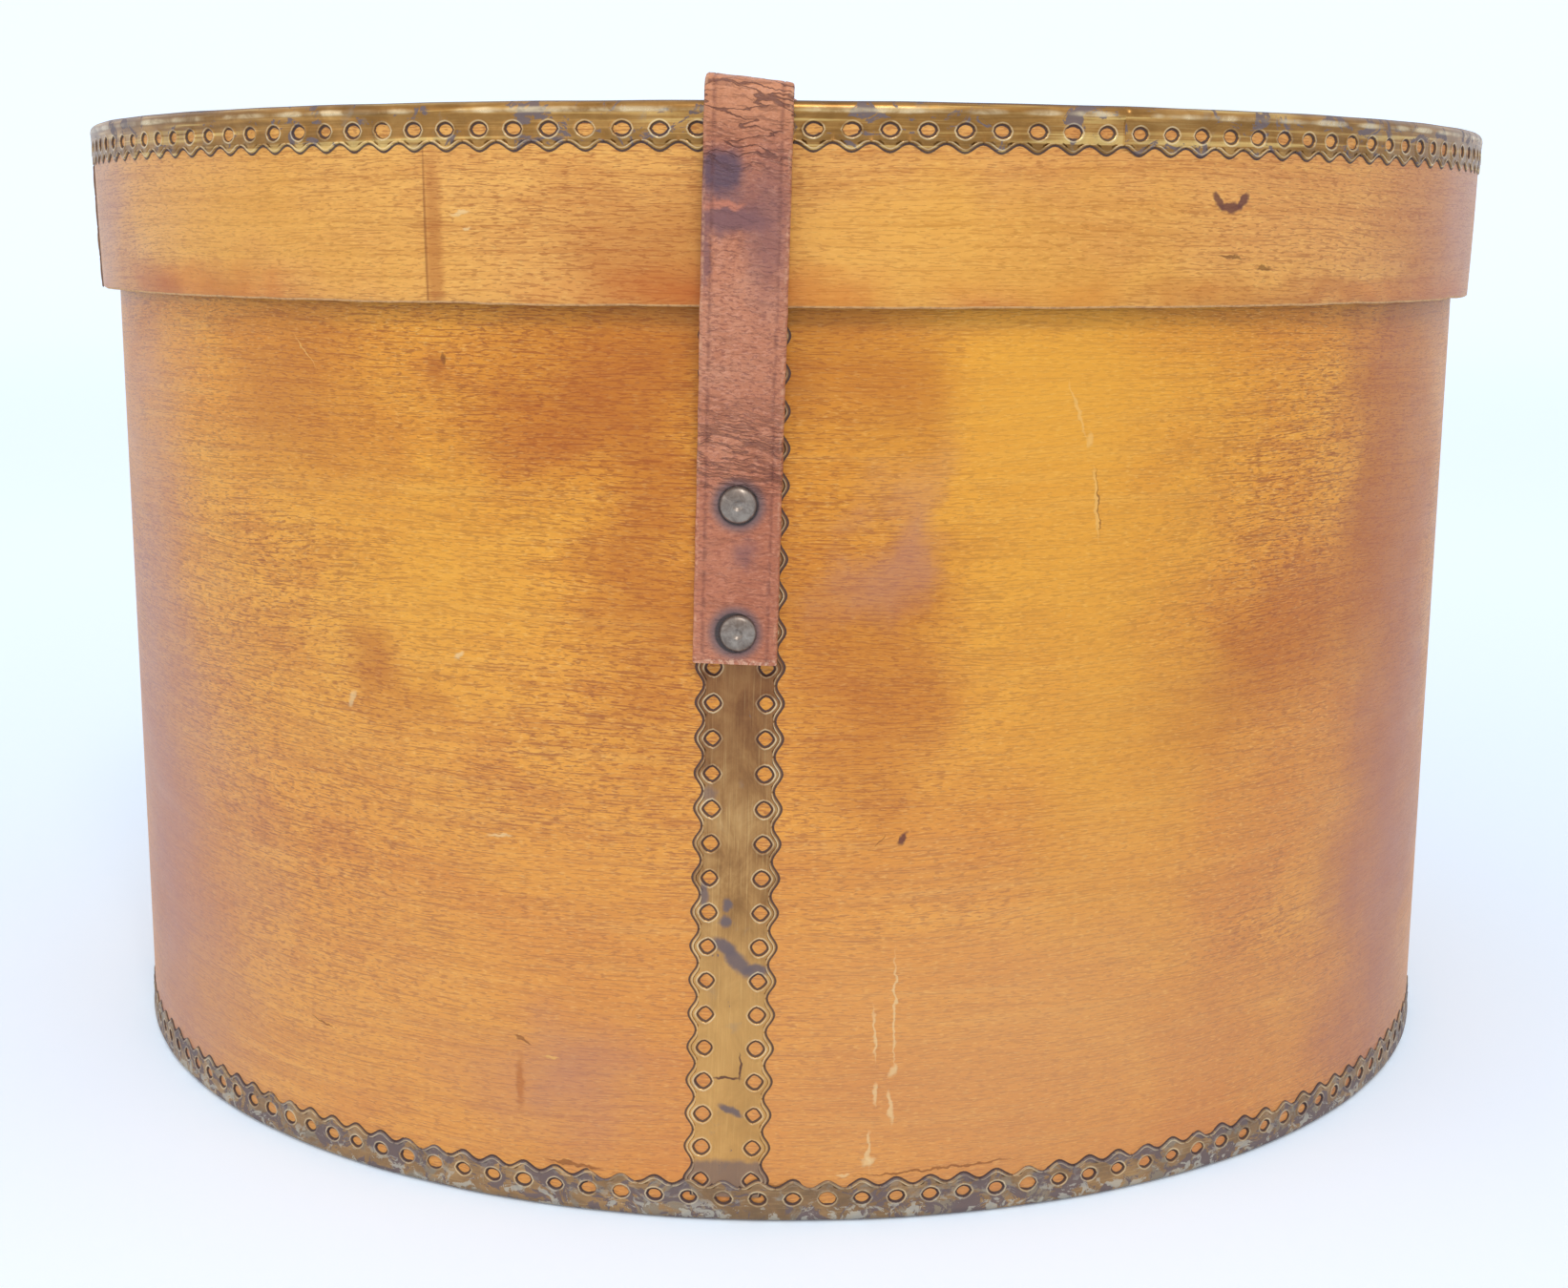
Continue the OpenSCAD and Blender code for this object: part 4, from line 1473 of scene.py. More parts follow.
def smooth_line(points: Sequence[Sequence[float]], step: float) -> Array:
    """A smooth curve through points, cut into even steps.

    Args:
        points: Places that the curve passes through.
        step: Distance between the places handed back.

    Returns:
        Places along the curve.
    """
    known = np.array(points, float)
    ends = np.vstack([2 * known[0] - known[1], known, 2 * known[-1] - known[-2]])
    dense: list[Array] = []
    for index in range(1, len(ends) - 2):
        before, first, second, after = ends[index - 1:index + 3]
        gap = np.linalg.norm(second - first)
        leave = (second - before) / (np.linalg.norm(second - first) + np.linalg.norm(first - before)) * gap
        arrive = (after - first) / (np.linalg.norm(after - second) + np.linalg.norm(second - first)) * gap
        share = np.linspace(0, 1, 40, endpoint=index == len(ends) - 3)[:, None]
        square, cube = share ** 2, share ** 3
        dense.append((2 * cube - 3 * square + 1) * first + (cube - 2 * square + share) * leave
                     + (3 * square - 2 * cube) * second + (cube - square) * arrive)
    line = np.vstack(dense)
    run = run_along(line)
    count = max(2, int(round(run[-1] / step)))
    wanted = np.linspace(0, run[-1], count + 1)
    return np.stack([np.interp(wanted, run, line[:, axis]) for axis in range(line.shape[1])], -1)


@dataclass
class Ribbon:
    """A strip of leather along a line in space.

    Attributes:
        centre: Places along its middle.
        across: Unit direction of its width at each place.
        width: Its width.
        thickness: Its thickness at each place.
        seed: Picks its wrinkles.
    """

    centre: Array
    across: Array
    width: float
    thickness: Array
    seed: float
    origin: float = 0.0
    wrinkle: Callable[[float], float] = lambda run: 0.05 * MM
    narrowing: Callable[[float], float] = lambda left: 1.0
    dents: tuple[float, ...] = ()
    closed: bool = False

    def run(self) -> Array:
        """Distance along the strip at each place."""
        return self.origin + run_along(self.centre)

    def section(self) -> tuple[Array, Array]:
        """The outline of the cut strip.

        Returns:
            Places as shares of half the width and half the thickness, and 1 where wrinkles show.
        """
        half = self.width / 2
        crease = 1 - 2.0 * MM / half
        top = [(-0.985, 0.72, 0.3), (-0.95, 0.93, 0.8), (-crease - 0.05, 1.0, 1), (-crease - 0.018, 0.98, 1),
               (-crease, 0.90, 1), (-crease + 0.018, 0.98, 1), (-crease + 0.05, 1.0, 1)]
        middle = [(x, 1.02, 1) for x in np.linspace(-0.6, 0.6, 13)]
        mirrored = [(-x, y, w) for x, y, w in top[::-1]]
        side = [(1.0, 0.3, 0), (1.0, -0.5, 0), (0.96, -0.95, 0)]
        under = [(x, -1.0, 0) for x in (0.6, 0.2, -0.2, -0.6)]
        other = [(-x, y, w) for x, y, w in side[::-1]]
        ring = np.array(top + middle + mirrored + side + under + other)
        return ring[:, :2], ring[:, 2]

    def rings(self) -> tuple[Array, Array]:
        """The strip's points and coordinates, as rings by points."""
        run = self.run()
        ring, shows = self.section()
        tangent = unit(np.gradient(self.centre, axis=0))
        across = unit(self.across - tangent * np.sum(self.across * tangent, 1)[:, None])
        normal = np.cross(across, tangent)
        half = self.width / 2
        points = np.zeros((len(run), len(ring), 3))
        coords = np.zeros((len(run), len(ring), 2))
        for row, place in enumerate(run):
            left = run[-1] - place
            narrow = self.narrowing(left)
            uneven = 1 + 0.010 * ripple(place * 160, 0, self.seed + 3)
            deep = self.wrinkle(place)
            for column, ((x, y), show) in enumerate(zip(ring, shows)):
                side = x * half * narrow * uneven
                sway = 2.2 * ripple(place * 90, side * 110, self.seed)
                fold = ripple(place * 620 + sway, side * 95, self.seed)
                lift = y * self.thickness[row] / 2 + show * (deep * fold - 0.3 * deep)
                for rivet in self.dents:
                    near = hypot(place - rivet, side)
                    lift -= show * 0.22 * MM * exp(-((near - 4.2 * MM) / (0.9 * MM)) ** 2)
                points[row, column] = self.centre[row] + across[row] * side + normal[row] * lift
                coords[row, column] = (place, side if y > -0.9 else side * 1.001)
        return points, coords

    def build(self, name: str, material: Material, first: int = 0, last: Optional[int] = None) -> Piece:
        """Make the strip, or a stretch of it.

        Args:
            name: Name of the piece.
            material: Its leather.
            first: First ring of the stretch.
            last: Last ring of the stretch, or None for the end.

        Returns:
            The piece. Its real ends are closed, and ends inside the strip are left open.
        """
        points, coords = self.rings()
        end = len(points) - 1 if last is None else last
        points_here, coords_here = points[first:end + 1], coords[first:end + 1]
        plan = MeshPlan()
        start = plan.add(points_here, coords_here)
        rows, columns = points_here.shape[:2]
        plan.grid(start, rows, columns, close_rows=self.closed, close_columns=True)
        if not self.closed:
            if first == 0:
                self.cap(plan, points_here[0], coords_here[0], start, points_here[0] - points_here[1], True)
            if end == len(points) - 1:
                tail = start + (rows - 1) * columns
                outwards = points_here[-1] - points_here[-2]
                self.cap(plan, points_here[-1], coords_here[-1], tail, outwards, False)
        return plan.build(name, [material])

    @staticmethod
    def cap(plan: MeshPlan, ring: Array, coords: Array, start: int, outwards: Array,
            at_start: bool) -> None:
        """Close an end with a softened edge.

        Args:
            plan: The plan to add to.
            ring: The last ring's points.
            coords: Their coordinates.
            start: Number of the ring's first point.
            outwards: A step past the end for each point.
            at_start: Whether this is the first end.
        """
        middle = ring.mean(0)
        step = outwards.mean(0)
        step = step / np.linalg.norm(step) * 0.28 * MM
        rim = middle + (ring - middle) * 0.985 + step
        inner = plan.add(rim, coords)
        count = len(ring)
        for column in range(count):
            beside = (column + 1) % count
            corners = (start + column, start + beside, inner + beside, inner + column)
            plan.face(corners[::-1] if at_start else corners)
        loop = range(inner, inner + count)
        plan.face(loop if at_start else loop[::-1])


@dataclass
class Strap:
    """One half of the strap: its end on the body, its leg, its bend over the rim and its run on the lid.

    Attributes:
        label: "front" or "rear", as in the names of its nodes and joints.
        facing: -1 at the front and 1 at the rear, along Y.
        skew: Degrees by which the run slants across the lid.
        lean: How far to the right the strap moves for each metre that it rises.
        tilt: Degrees by which the bend is higher on its left.
        twist: Degrees by which the free leather between rivet and lid turns to the left.
        step: Distance between its rings.
        width: Width of the leather.
        thickness: Its thickness.
        end_z: Height of its lower end.
        run_z: Height of the middle of its run on the lid.
        lid_top: Height of the lid's top.
        lid_edge: Height of the lid's lower edge.
        lid_radius: Radius of the lid.
        swing: Place of its hinge above the upper rivet.
        fold: Place of its hinge at the bend over the rim.
    """

    label: str
    facing: int
    skew: float = 0.0
    lean: float = 0.0
    tilt: float = 0.0
    twist: float = 0.0
    step: float = 0.8 * MM
    width: float = field(init=False)
    thickness: float = field(init=False)
    end_z: float = field(init=False)
    run_z: float = field(init=False)
    lid_top: float = field(init=False)
    lid_edge: float = field(init=False)
    lid_radius: float = field(init=False)
    swing: Vector = field(init=False)
    fold: Vector = field(init=False)

    def __post_init__(self) -> None:
        """Read the strap's sizes from its CAD nodes and joints."""
        low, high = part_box(f"strap_{self.label}_anchor")
        self.width, self.thickness = high.x - low.x, high.y - low.y
        self.end_z = low.z
        self.swing = Vector(joint_value(f"{self.label}_strap_swing", "pos_m"))
        self.fold = Vector(joint_value(f"{self.label}_strap_fold", "pos_m"))
        self.lid_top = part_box("lid_rim_band")[1].z
        self.lid_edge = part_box("lid_wall")[0].z
        self.lid_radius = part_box("lid_wall")[1].x
        self.run_z = self.lid_top + 0.3 * MM + self.thickness / 2

    def rivet_heights(self) -> tuple[float, float]:
        """Heights of the lower and the upper rivet."""
        lower, upper = (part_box(f"{self.label}_rivet_{which}") for which in ("lower", "upper"))
        return (lower[0].z + lower[1].z) / 2, (upper[0].z + upper[1].z) / 2

    def side_line(self) -> list[tuple[float, float]]:
        """The strap's middle as [distance from the axis, height], from its lower end to the lid's top."""
        seat, reach = abs(self.swing.y), abs(self.fold.y)
        bend_top = self.lid_top + self.thickness / 2 + 1.6 * MM
        rim = self.lid_radius
        return [
            (seat, self.end_z), (seat, self.end_z + 20 * MM), (seat, self.swing.z - 6 * MM),
            (seat + 0.4 * MM, self.swing.z + 1 * MM), (rim + 1.3 * MM, self.lid_edge - 8 * MM),
            (rim + 2.6 * MM, self.lid_edge + 4 * MM), (reach - 0.3 * MM, self.lid_top - 10 * MM),
            (reach - 0.3 * MM, self.fold.z), (reach - 1.5 * MM, bend_top - 0.5 * MM),
            (rim - 1.5 * MM, bend_top - 0.1 * MM), (rim - 12 * MM, bend_top - 1.1 * MM),
            (rim - 31 * MM, self.run_z)]

    def ribbon(self, tail: Sequence[tuple[float, float]], thin: Callable[[float], float],
               narrowing: Callable[[float], float], seed: float) -> Ribbon:
        """Lay the whole strap half.

        Args:
            tail: The rest of its side view, after the bend.
            thin: Thickness at a distance left to its end.
            narrowing: Share of its width at a distance left to its end.
            seed: Picks its wrinkles.

        Returns:
            The strap half, from its lower end to its far end.
        """
        line = smooth_line(self.side_line() + list(tail), self.step)
        run = run_along(line)
        bend_run = self.bend_run(line, run)
        y = self.facing * line[:, 0]
        inward = np.maximum(abs(self.fold.y) - line[:, 0], 0)
        risen = np.minimum(run, bend_run) - (self.rivet_heights()[0] - self.end_z) * 2.5
        slide = tan(radians(self.skew)) * inward * ease(inward, 45 * MM, 130 * MM)
        slide -= tan(radians(self.tilt * 0.5)) * inward * ease(inward, 95 * MM, 30 * MM)
        x = self.lean * risen * ease(inward, 130 * MM, 45 * MM) + slide
        centre = np.stack([x, y, line[:, 1]], -1)
        tip = radians(self.tilt) * np.exp(-((run - bend_run) / (15 * MM)) ** 2)
        free = (self.swing.z + self.lid_edge) / 2 - self.end_z - 1 * MM
        turn = radians(self.twist) * np.exp(-((run - free) / (9 * MM)) ** 2)
        across = np.stack([np.cos(turn), np.sin(turn) * self.facing, -np.sin(tip)], -1)
        across *= -self.facing
        left = run[-1] - run
        thickness = np.array([thin(value) for value in left])
        lower, upper = self.rivet_heights()
        split = self.split_run()

        def wrinkle(place: float) -> float:
            """Depth of the wrinkles at a distance along the strap."""
            at_bend = exp(-((place - bend_run + 4 * MM) / (13 * MM)) ** 2)
            above_rivet = exp(-((place - 42 * MM) / (5 * MM)) ** 2)
            calm = 1 - exp(-((place - split) / (2.0 * MM)) ** 2)
            return (0.06 + 0.22 * at_bend + 0.13 * above_rivet) * MM * calm

        return Ribbon(centre, across, self.width, thickness, seed, wrinkle=wrinkle, narrowing=narrowing,
                      dents=(lower - self.end_z, upper - self.end_z))

    def bend_run(self, line: Array, run: Array) -> float:
        """Distance along the strap to its highest point over the rim."""
        near_rim = line[:, 0] > self.lid_radius - 20 * MM
        return float(run[np.argmax(np.where(near_rim, line[:, 1], 0))])

    def split_run(self) -> float:
        """Distance along the strap at which the lower piece ends and the upper one starts."""
        return self.lid_edge - self.end_z + 8 * MM

    def lay(self, ribbon: Ribbon, material: Material, tools: Sequence[Piece]) -> None:
        """Make the two pieces of the strap half, and hide the solids that they stand for.

        Args:
            ribbon: The strap half.
            material: Its leather.
            tools: What is cut out of the upper piece.
        """
        rows = ribbon.run()
        split = int(np.argmin(np.abs(rows - self.split_run())))
        lower = ribbon.build(f"{self.label}_strap_lower", material, 0, split)
        upper = ribbon.build(f"{self.label}_strap_upper", material, split)
        cut(upper, tools)
        names = [f"strap_{self.label}_{part}" for part in ("anchor", "leg", "run")]
        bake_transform(lower)
        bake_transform(upper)
        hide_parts(names[0], names[1])
        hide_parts(names[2])
        LOG.info("%s strap: %d rings, split at ring %d", self.label, len(rows), split)


# ------------------------------------------------------------------ turned metal pieces


def turned(plan: MeshPlan, profile: Sequence[tuple[float, float]], origin: Vector, axis: Vector,
           segments: int = 40, wobble: float = 0.0, seed: float = 0.0) -> None:
    """Add a turned shape to a plan.

    Args:
        plan: The plan to add to.
        profile: Its outline as [radius, distance along the axis], from one end to the other.
        origin: Where the axis starts.
        axis: Unit direction of the axis.
        segments: Number of faces round it.
        wobble: How uneven it is, as a share of its radius.
        seed: Picks the unevenness.
    """
    side = axis.orthogonal().normalized()
    other = axis.cross(side)
    rows = []
    for radius, far in profile:
        ring = []
        for index in range(segments):
            angle = 2 * pi * index / segments
            uneven = 1 + wobble * ripple(cos(angle) * 1.3, sin(angle) * 1.3 + far * 300, seed)
            spoke = side * cos(angle) + other * sin(angle)
            ring.append(origin + axis * far + spoke * (radius * uneven))
        rows.append(ring)
    points = np.array(rows)
    coords = points[..., :2] + points[..., 2:3]
    start = plan.add(points, coords)
    plan.grid(start, len(profile), segments, close_columns=True)
    plan.close_ends(start, len(profile), segments)


@dataclass
class WallRivet:
    """A rivet through a strap end and the wall: a low dome with a dimple, and a formed head inside.

    Attributes:
        node: The CAD node that it stands for.
        facing: -1 at the front and 1 at the rear.
    """

    node: str
    facing: int
    seed: float

    def build(self, material: Material) -> Piece:
        """Make the rivet.

        Args:
            material: Its metal.

        Returns:
            The rivet, riding on the box.
        """
        low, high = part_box(self.node)
        radius = (high.x - low.x) / 2
        outer = max(abs(low.y), abs(high.y))
        inner = min(abs(low.y), abs(high.y))
        dome = 1.6 * MM
        face = outer - dome
        shank = 1.9 * MM
        profile = [
            (0.6 * MM, inner), (shank + 0.7 * MM, inner + 0.1 * MM), (shank + 1.1 * MM, inner + 0.5 * MM),
            (shank + 1.0 * MM, inner + 1.15 * MM), (shank, inner + 1.2 * MM), (shank, face - 0.3 * MM),
            (radius * 0.93, face - 0.32 * MM), (radius * 0.99, face - 0.1 * MM),
            (radius, face + 0.12 * MM), (radius * 0.985, face + 0.36 * MM)]
        for share in np.linspace(0.9, 0.36, 9):
            profile.append((radius * share, face + dome * (0.16 + 0.80 * sqrt(1 - share ** 2))))
        profile += [(radius * 0.30, face + dome * 0.94), (radius * 0.24, face + dome * 0.84),
                    (radius * 0.17, face + dome * 0.70), (radius * 0.07, face + dome * 0.64)]
        plan = MeshPlan()
        middle = Vector(((low.x + high.x) / 2, 0, (low.z + high.z) / 2))
        turned(plan, profile, middle, Vector((0, self.facing, 0)), 48, 0.006, self.seed)
        return settle(plan.build(self.node + "_head", [material]), "box", self.node)


# ------------------------------------------------------------------ buckle


@dataclass
class Buckle:
    """The plain buckle on the rear strap: frame, prong, keeper and the rivets of the leather fold.

    Attributes:
        low: Lowest corner of the frame.
        high: Highest corner of the frame.
        wire: Half the height of the frame's rod.
        bar: Place of the bar that it turns about.
    """

    low: Vector = field(init=False)
    high: Vector = field(init=False)
    wire: float = field(init=False)
    bar: Vector = field(init=False)

    def __post_init__(self) -> None:
        """Read the buckle's sizes from its CAD nodes."""
        self.low, self.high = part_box("buckle_frame")
        self.wire = (self.high.z - self.low.z) / 2
        self.bar = Vector(joint_value("buckle_turn", "pos_m"))

    @staticmethod
    def tube(plan: MeshPlan, line: Array, radii: Array, flat: Array, closed: bool) -> None:
        """Add a rod with an oval section along a line.

        Args:
            plan: The plan to add to.
            line: Places along the rod.
            radii: Half its width at each place.
            flat: Height of its section as a share of its width.
            closed: Whether the rod joins itself.
        """
        count = len(line)
        tangent = unit(np.roll(line, -1, 0) - np.roll(line, 1, 0) if closed else np.gradient(line, axis=0))
        up = np.zeros_like(line)
        up[:, 2] = 1
        steep = np.abs(tangent[:, 2]) > 0.9
        up[steep] = (0, 1, 0)
        side = unit(np.cross(tangent, up))
        rise = np.cross(side, tangent)
        angles = np.linspace(0, 2 * pi, 16, endpoint=False)
        ring = (side[:, None] * np.cos(angles)[None, :, None]
                + rise[:, None] * (np.sin(angles)[None, :] * flat[:, None])[..., None])
        points = line[:, None] + ring * radii[:, None, None]
        start = plan.add(points, points[..., :2])
        plan.grid(start, count, 16, close_rows=closed, close_columns=True)
        if not closed:
            plan.close_ends(start, count, 16)

    def frame_piece(self, material: Material) -> Piece:
        """Make the frame: a rounded rectangle whose rear rail is the bar."""
        half_x = (self.high.x - self.low.x) / 2 - self.wire
        front, rear = self.low.y + self.wire, self.high.y - self.wire
        corners = [(half_x, rear, 1.2 * MM), (half_x, front, 4.0 * MM), (-half_x, front, 4.0 * MM),
                   (-half_x, rear, 1.2 * MM)]
        line: list[tuple[float, float, float]] = []
        for index, (x, y, bend) in enumerate(corners):
            centre = np.array([x - copysign(bend, x), y + (bend if y == front else -bend)])
            first = {0: 90, 1: 0, 2: -90, 3: -180}[index]
            for turn in np.linspace(0, 90, 8):
                angle = radians(first - turn)
                line.append((centre[0] + bend * cos(angle), centre[1] + bend * sin(angle), self.bar.z))
            follower = corners[(index + 1) % 4]
            target = np.array(follower[:2])
            last = np.array(line[-1][:2])
            for share in np.linspace(0.12, 0.75, 6):
                place = last + (target - last) * share
                place = np.where(np.abs(target - last) > 6 * MM, place, last)
                line.append((*place, self.bar.z))
        path = np.array(line)
        on_bar = ease(path[:, 1], rear - 2.5 * MM, rear - 0.5 * MM)
        radii = self.wire * (1.0 - 0.06 * on_bar)
        flat = 0.82 + 0.18 * on_bar
        plan = MeshPlan()
        self.tube(plan, path, radii, flat, True)
        return settle(plan.build("buckle_frame_cast", [material]), "buckle", "buckle_frame")

    def prong_piece(self, material: Material) -> Piece:
        """Make the prong: a flat eye round the bar and a tapered pin that rests on the front rail."""
        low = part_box("buckle_prong")[0]
        plan = MeshPlan()
        eye_radius = self.wire + 0.75 * MM
        turns = np.radians(np.linspace(-60, 250, 26))
        eye = np.stack([np.zeros_like(turns), self.bar.y + eye_radius * np.cos(turns),
                        self.bar.z + eye_radius * np.sin(turns)], -1)
        reach = self.bar.y - low.y
        rise = self.wire + 1.05 * MM
        rod = smooth_line([
            (0, self.bar.y - 0.2 * MM, self.bar.z + eye_radius + 0.2 * MM),
            (0, self.bar.y - reach * 0.35, self.bar.z + rise + 0.5 * MM),
            (0, self.bar.y - reach * 0.75, self.bar.z + rise + 0.1 * MM),
            (0, low.y + 0.3 * MM, self.bar.z + rise - 0.45 * MM)], 0.7 * MM)
        self.tube(plan, eye, np.full(len(eye), 0.7 * MM), np.full(len(eye), 1.9), False)
        share = np.linspace(0, 1, len(rod))
        radii = (1.25 - 0.40 * share) * MM * np.where(share > 0.97, 0.7, 1)
        self.tube(plan, rod, radii, np.full(len(rod), 0.8), False)
        return settle(plan.build("buckle_prong_cast", [material]), "prong", "buckle_prong")

    def keeper_piece(self, material: Material) -> Piece:
        """Make the keeper: a narrow leather loop round the strap and its fold."""
        low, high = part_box("keeper_loop")
        thick = 1.1 * MM
        half_x, top, bottom = high.x - thick / 2, high.z - thick / 2, low.z - 0.25 * MM
        line: list[tuple[float, float, float]] = []
        bend = 1.2 * MM
        middle_y = (low.y + high.y) / 2
        corners = ((half_x, bottom, -90), (half_x, top, 0), (-half_x, top, 90), (-half_x, bottom, 180))
        for x, z, first in corners:
            centre = (x - copysign(bend, x), z + (bend if z == bottom else -bend))
            for turn in np.linspace(0, 90, 6):
                angle = radians(first + turn)
                line.append((centre[0] + bend * cos(angle), middle_y, centre[1] + bend * sin(angle)))
        path = np.array(line + [line[0]])
        run = run_along(path)
        even = np.linspace(0, run[-1], 90, endpoint=False)
        centre = np.stack([np.interp(even, run, path[:, axis]) for axis in range(3)], -1)
        across = np.tile(np.array([0.0, -1.0, 0.0]), (len(centre), 1))
        low_part = ease(centre[:, 2], bottom + 0.8 * MM, bottom)
        loop = Ribbon(centre, across, high.y - low.y, thick * (1 - 0.45 * low_part), 31.0, origin=0.3,
                      wrinkle=lambda run_here: 0.04 * MM, closed=True)
        piece = loop.build("keeper_leather", material)
        return settle(piece, "rear_run", "keeper_loop")

    def rivet_piece(self, material: Material) -> Piece:
        """Make the two small rivets that close the leather fold."""
        low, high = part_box("chape_rivets")
        radius = (high.x - low.x) / 2
        plan = MeshPlan()
        for place in (low.y + radius, high.y - radius):
            height = high.z - low.z
            profile = [(radius * 0.5, 0.05 * MM), (radius * 0.96, 0.1 * MM), (radius, 0.5 * MM),
                       (radius * 0.9, 0.8 * MM), (1.2 * MM, 0.85 * MM), (1.2 * MM, height - 1.05 * MM),
                       (radius * 0.94, height - 1.0 * MM), (radius, height - 0.7 * MM),
                       (radius * 0.86, height - 0.25 * MM), (radius * 0.6, height - 0.05 * MM),
                       (radius * 0.42, height), (radius * 0.3, height - 0.3 * MM),
                       (radius * 0.1, height - 0.35 * MM)]
            turned(plan, profile, Vector((0, place, low.z)), Vector((0, 0, 1)), 36, 0.01, place)
        return settle(plan.build("chape_rivet_heads", [material]), "rear_run", "chape_rivets")


# ------------------------------------------------------------------ sub-assemblies


@dataclass
class Finishes:
    """Every finish of the box, made once."""

    body_ply: Material = field(init=False)

    def __post_init__(self) -> None:
        """Make the finishes from the sizes of the walls."""
        body_low, body_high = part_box("body_wall")
        lid_low, lid_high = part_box("lid_wall")
        # The soft GLOW, SHADE and haze patches paint light on lit parts of the wall, shade beside the strap
        # and just below the lid, and reflection on its sides, over the wood's own tone.
        body_marks = (
            *marks(BlemishAndLight.GLOW, (-22, 150, 50, 50, 20), (22, 186, 75, 30), (17, 158, 55, 70),
                (27, 130, 50, 110)),
            *marks(BlemishAndLight.SHADE, (-9, 186, 50, 34), (-6.5, 155, 22, 90), (8, 190, 26, 30),
                (57, 120, 44, 220), (64, 140, 50, 240), (53, 168, 26, 80), (-34, 182, 40, 34),
                (9, 128, 30, 56), (43, 126, 70, 26, 24)),
            *marks(BlemishAndLight.HAZE_AND_REFLECTION, (9.5, 150, 14, 32, -20), (-60, 100, 60, 200), (60, 50, 50, 120),
                (-54, 50, 70, 120), (-12, 30, 40, 24)),
            *marks(BlemishAndLight.BLEACH, (20, 34, 110, 70)),
            *marks(BlemishAndLight.LINE, (14, 11.5, 34, 0.6, 2)),
            *marks(BlemishAndLight.SCRATCH, (22.6, 180, 12, 0.6, 112), (24.2, 160, 15, 0.8, 96)),
            *marks(BlemishAndLight.LINE, (24.35, 160, 14, 0.3, 96)),
            *marks(BlemishAndLight.SCRATCH, (23.6, 173.5, 3, 1.6, 80), (-32.4, 190, 9, 0.3, 132),
                (-13.2, 35.6, 3.6, 0.6)),
            *marks(BlemishAndLight.CHIP, (9.3, 43.7, 11, 0.6, 92), (9.4, 30, 5, 0.9, 90), (10.7, 49, 24, 0.5, 91),
                (10.6, 35, 3, 1.4, 60), (10.5, 26.5, 7, 1, 96), (9, 17, 8, 0.7, 90), (9, 14, 3, 1.8, 30),
                (7.2, 11, 3, 0.6), (-28.9, 112.8, 3.6, 1.6, 60), (-19.7, 125.5, 2.6, 1.2, 20),
                (-16.8, 86, 5.2, 0.6)),
            *marks(BlemishAndLight.BRUISE, (11, 88.2, 3.4, 1.6, 60)),
            *marks(BlemishAndLight.LINE, (9.5, 88, 2.8, 0.3, 50)),
            *marks(BlemishAndLight.KNOT, (-20.3, 189.5, 1, 2.6)),
            *marks(BlemishAndLight.STRIPE, (-20.9, 188, 4.6, 6)),
            *marks(BlemishAndLight.SHADE, (-26.5, 116, 22, 14)),
            *marks(BlemishAndLight.LINE, (-33, 33, 7, 0.4, -14), (-15.4, 39, 4.6, 0.8, -20),
                (-11.6, 10.8, 13, 0.8, -6)),
            *marks(BlemishAndLight.STRIPE, (-15.6, 29, 2, 11)),
        )
        figured = (
            *marks(BlemishAndLight.SHADE, (-14, 176, 90, 70, -30), (12, 140, 50, 70, 50), (40, 150, 90, 60, 20),
                (-34, 70, 80, 60, 30)),
        )
        # On the lid the soft GLOW, SHADE and haze patches paint light, shade and reflection on its sides,
        # over the wood's own tone and the orange bands near its lower edge.
        lid_marks = (
            *marks(BlemishAndLight.BRUISE, (31.9, 223.8, 4.2, 1.7, -48), (34, 223.9, 4.2, 1.7, 48),
                (32.95, 222.5, 6.2, 2.1)),
            *marks(BlemishAndLight.KNOT, (33.2, 212, 7, 0.5, -4), (36.2, 209.8, 4.2, 1)),
            *marks(BlemishAndLight.CHIP, (-18, 220, 4, 1, 10), (-17.6, 217, 2, 0.6)),
            *marks(BlemishAndLight.GLOW, (20, 206, 90, 12), (14, 219, 80, 18), (-34, 216, 80, 30)),
            *marks(BlemishAndLight.STRIPE, (-20, 212, 38, 4, 90)),
            *marks(BlemishAndLight.JOINT, (-20.6, 214.5, 40, 0.6, 90)),
            *marks(BlemishAndLight.SHADE, (-5, 214, 36, 24), (40, 204.5, 90, 6), (-48, 204.5, 60, 8),
                (58, 215, 50, 50)),
            *marks(BlemishAndLight.HAZE_AND_REFLECTION, (68, 220, 50, 40), (-62, 220, 50, 40)),
        )
        purple, rift = srgb(104, 88, 88), srgb(84, 46, 30)
        strip_stains = (
            *stains(purple, (73.5, -1.6, 3, 2), (69.8, -2, 2.6, 2.6), (64.2, -1.8, 6, 2.8, 1, 120),
                (60.6, 1.2, 8.4, 3.4, 1, 136), (58.8, 5.2, 3, 5.2), (26.4, 0.6, 1.6, 5.6, 1, 24),
                (76, -6.7, 6, 2, 0.9), (98, -6.2, 4, 3, 0.6), (9.5, 0, 10, 40, 0.75, 0, 0.15),
                (33, -6.7, 3, 2.6, 0.8)),
            *stains(rift, (33.9, -0.5, 0.6, 6), (36.6, 2.4, 5.8, 0.5)),
        )
        self.body_ply = VarnishedPly("body_varnish", body_high.x, 0.0, body_low.z, 22 * MM, body_marks,
                                     figured).material()
        self.lid_ply = VarnishedPly("lid_varnish", lid_high.x, LID_SEAM, lid_low.z, 1 * MM, lid_marks,
                                    pallor=0.36, reddened=0.62, paler_below=0.0, figure=0.35).material()
        self.board_ply = VarnishedPly("board_varnish", pallor=0.2, figure=0.6, planar=True).material()
        self.raw = RawPly("bare_ply").material()
        wall = 3 * MM
        self.body_edge = PlyEdge("body_ply_edge", body_high.x - wall, body_high.x).material()
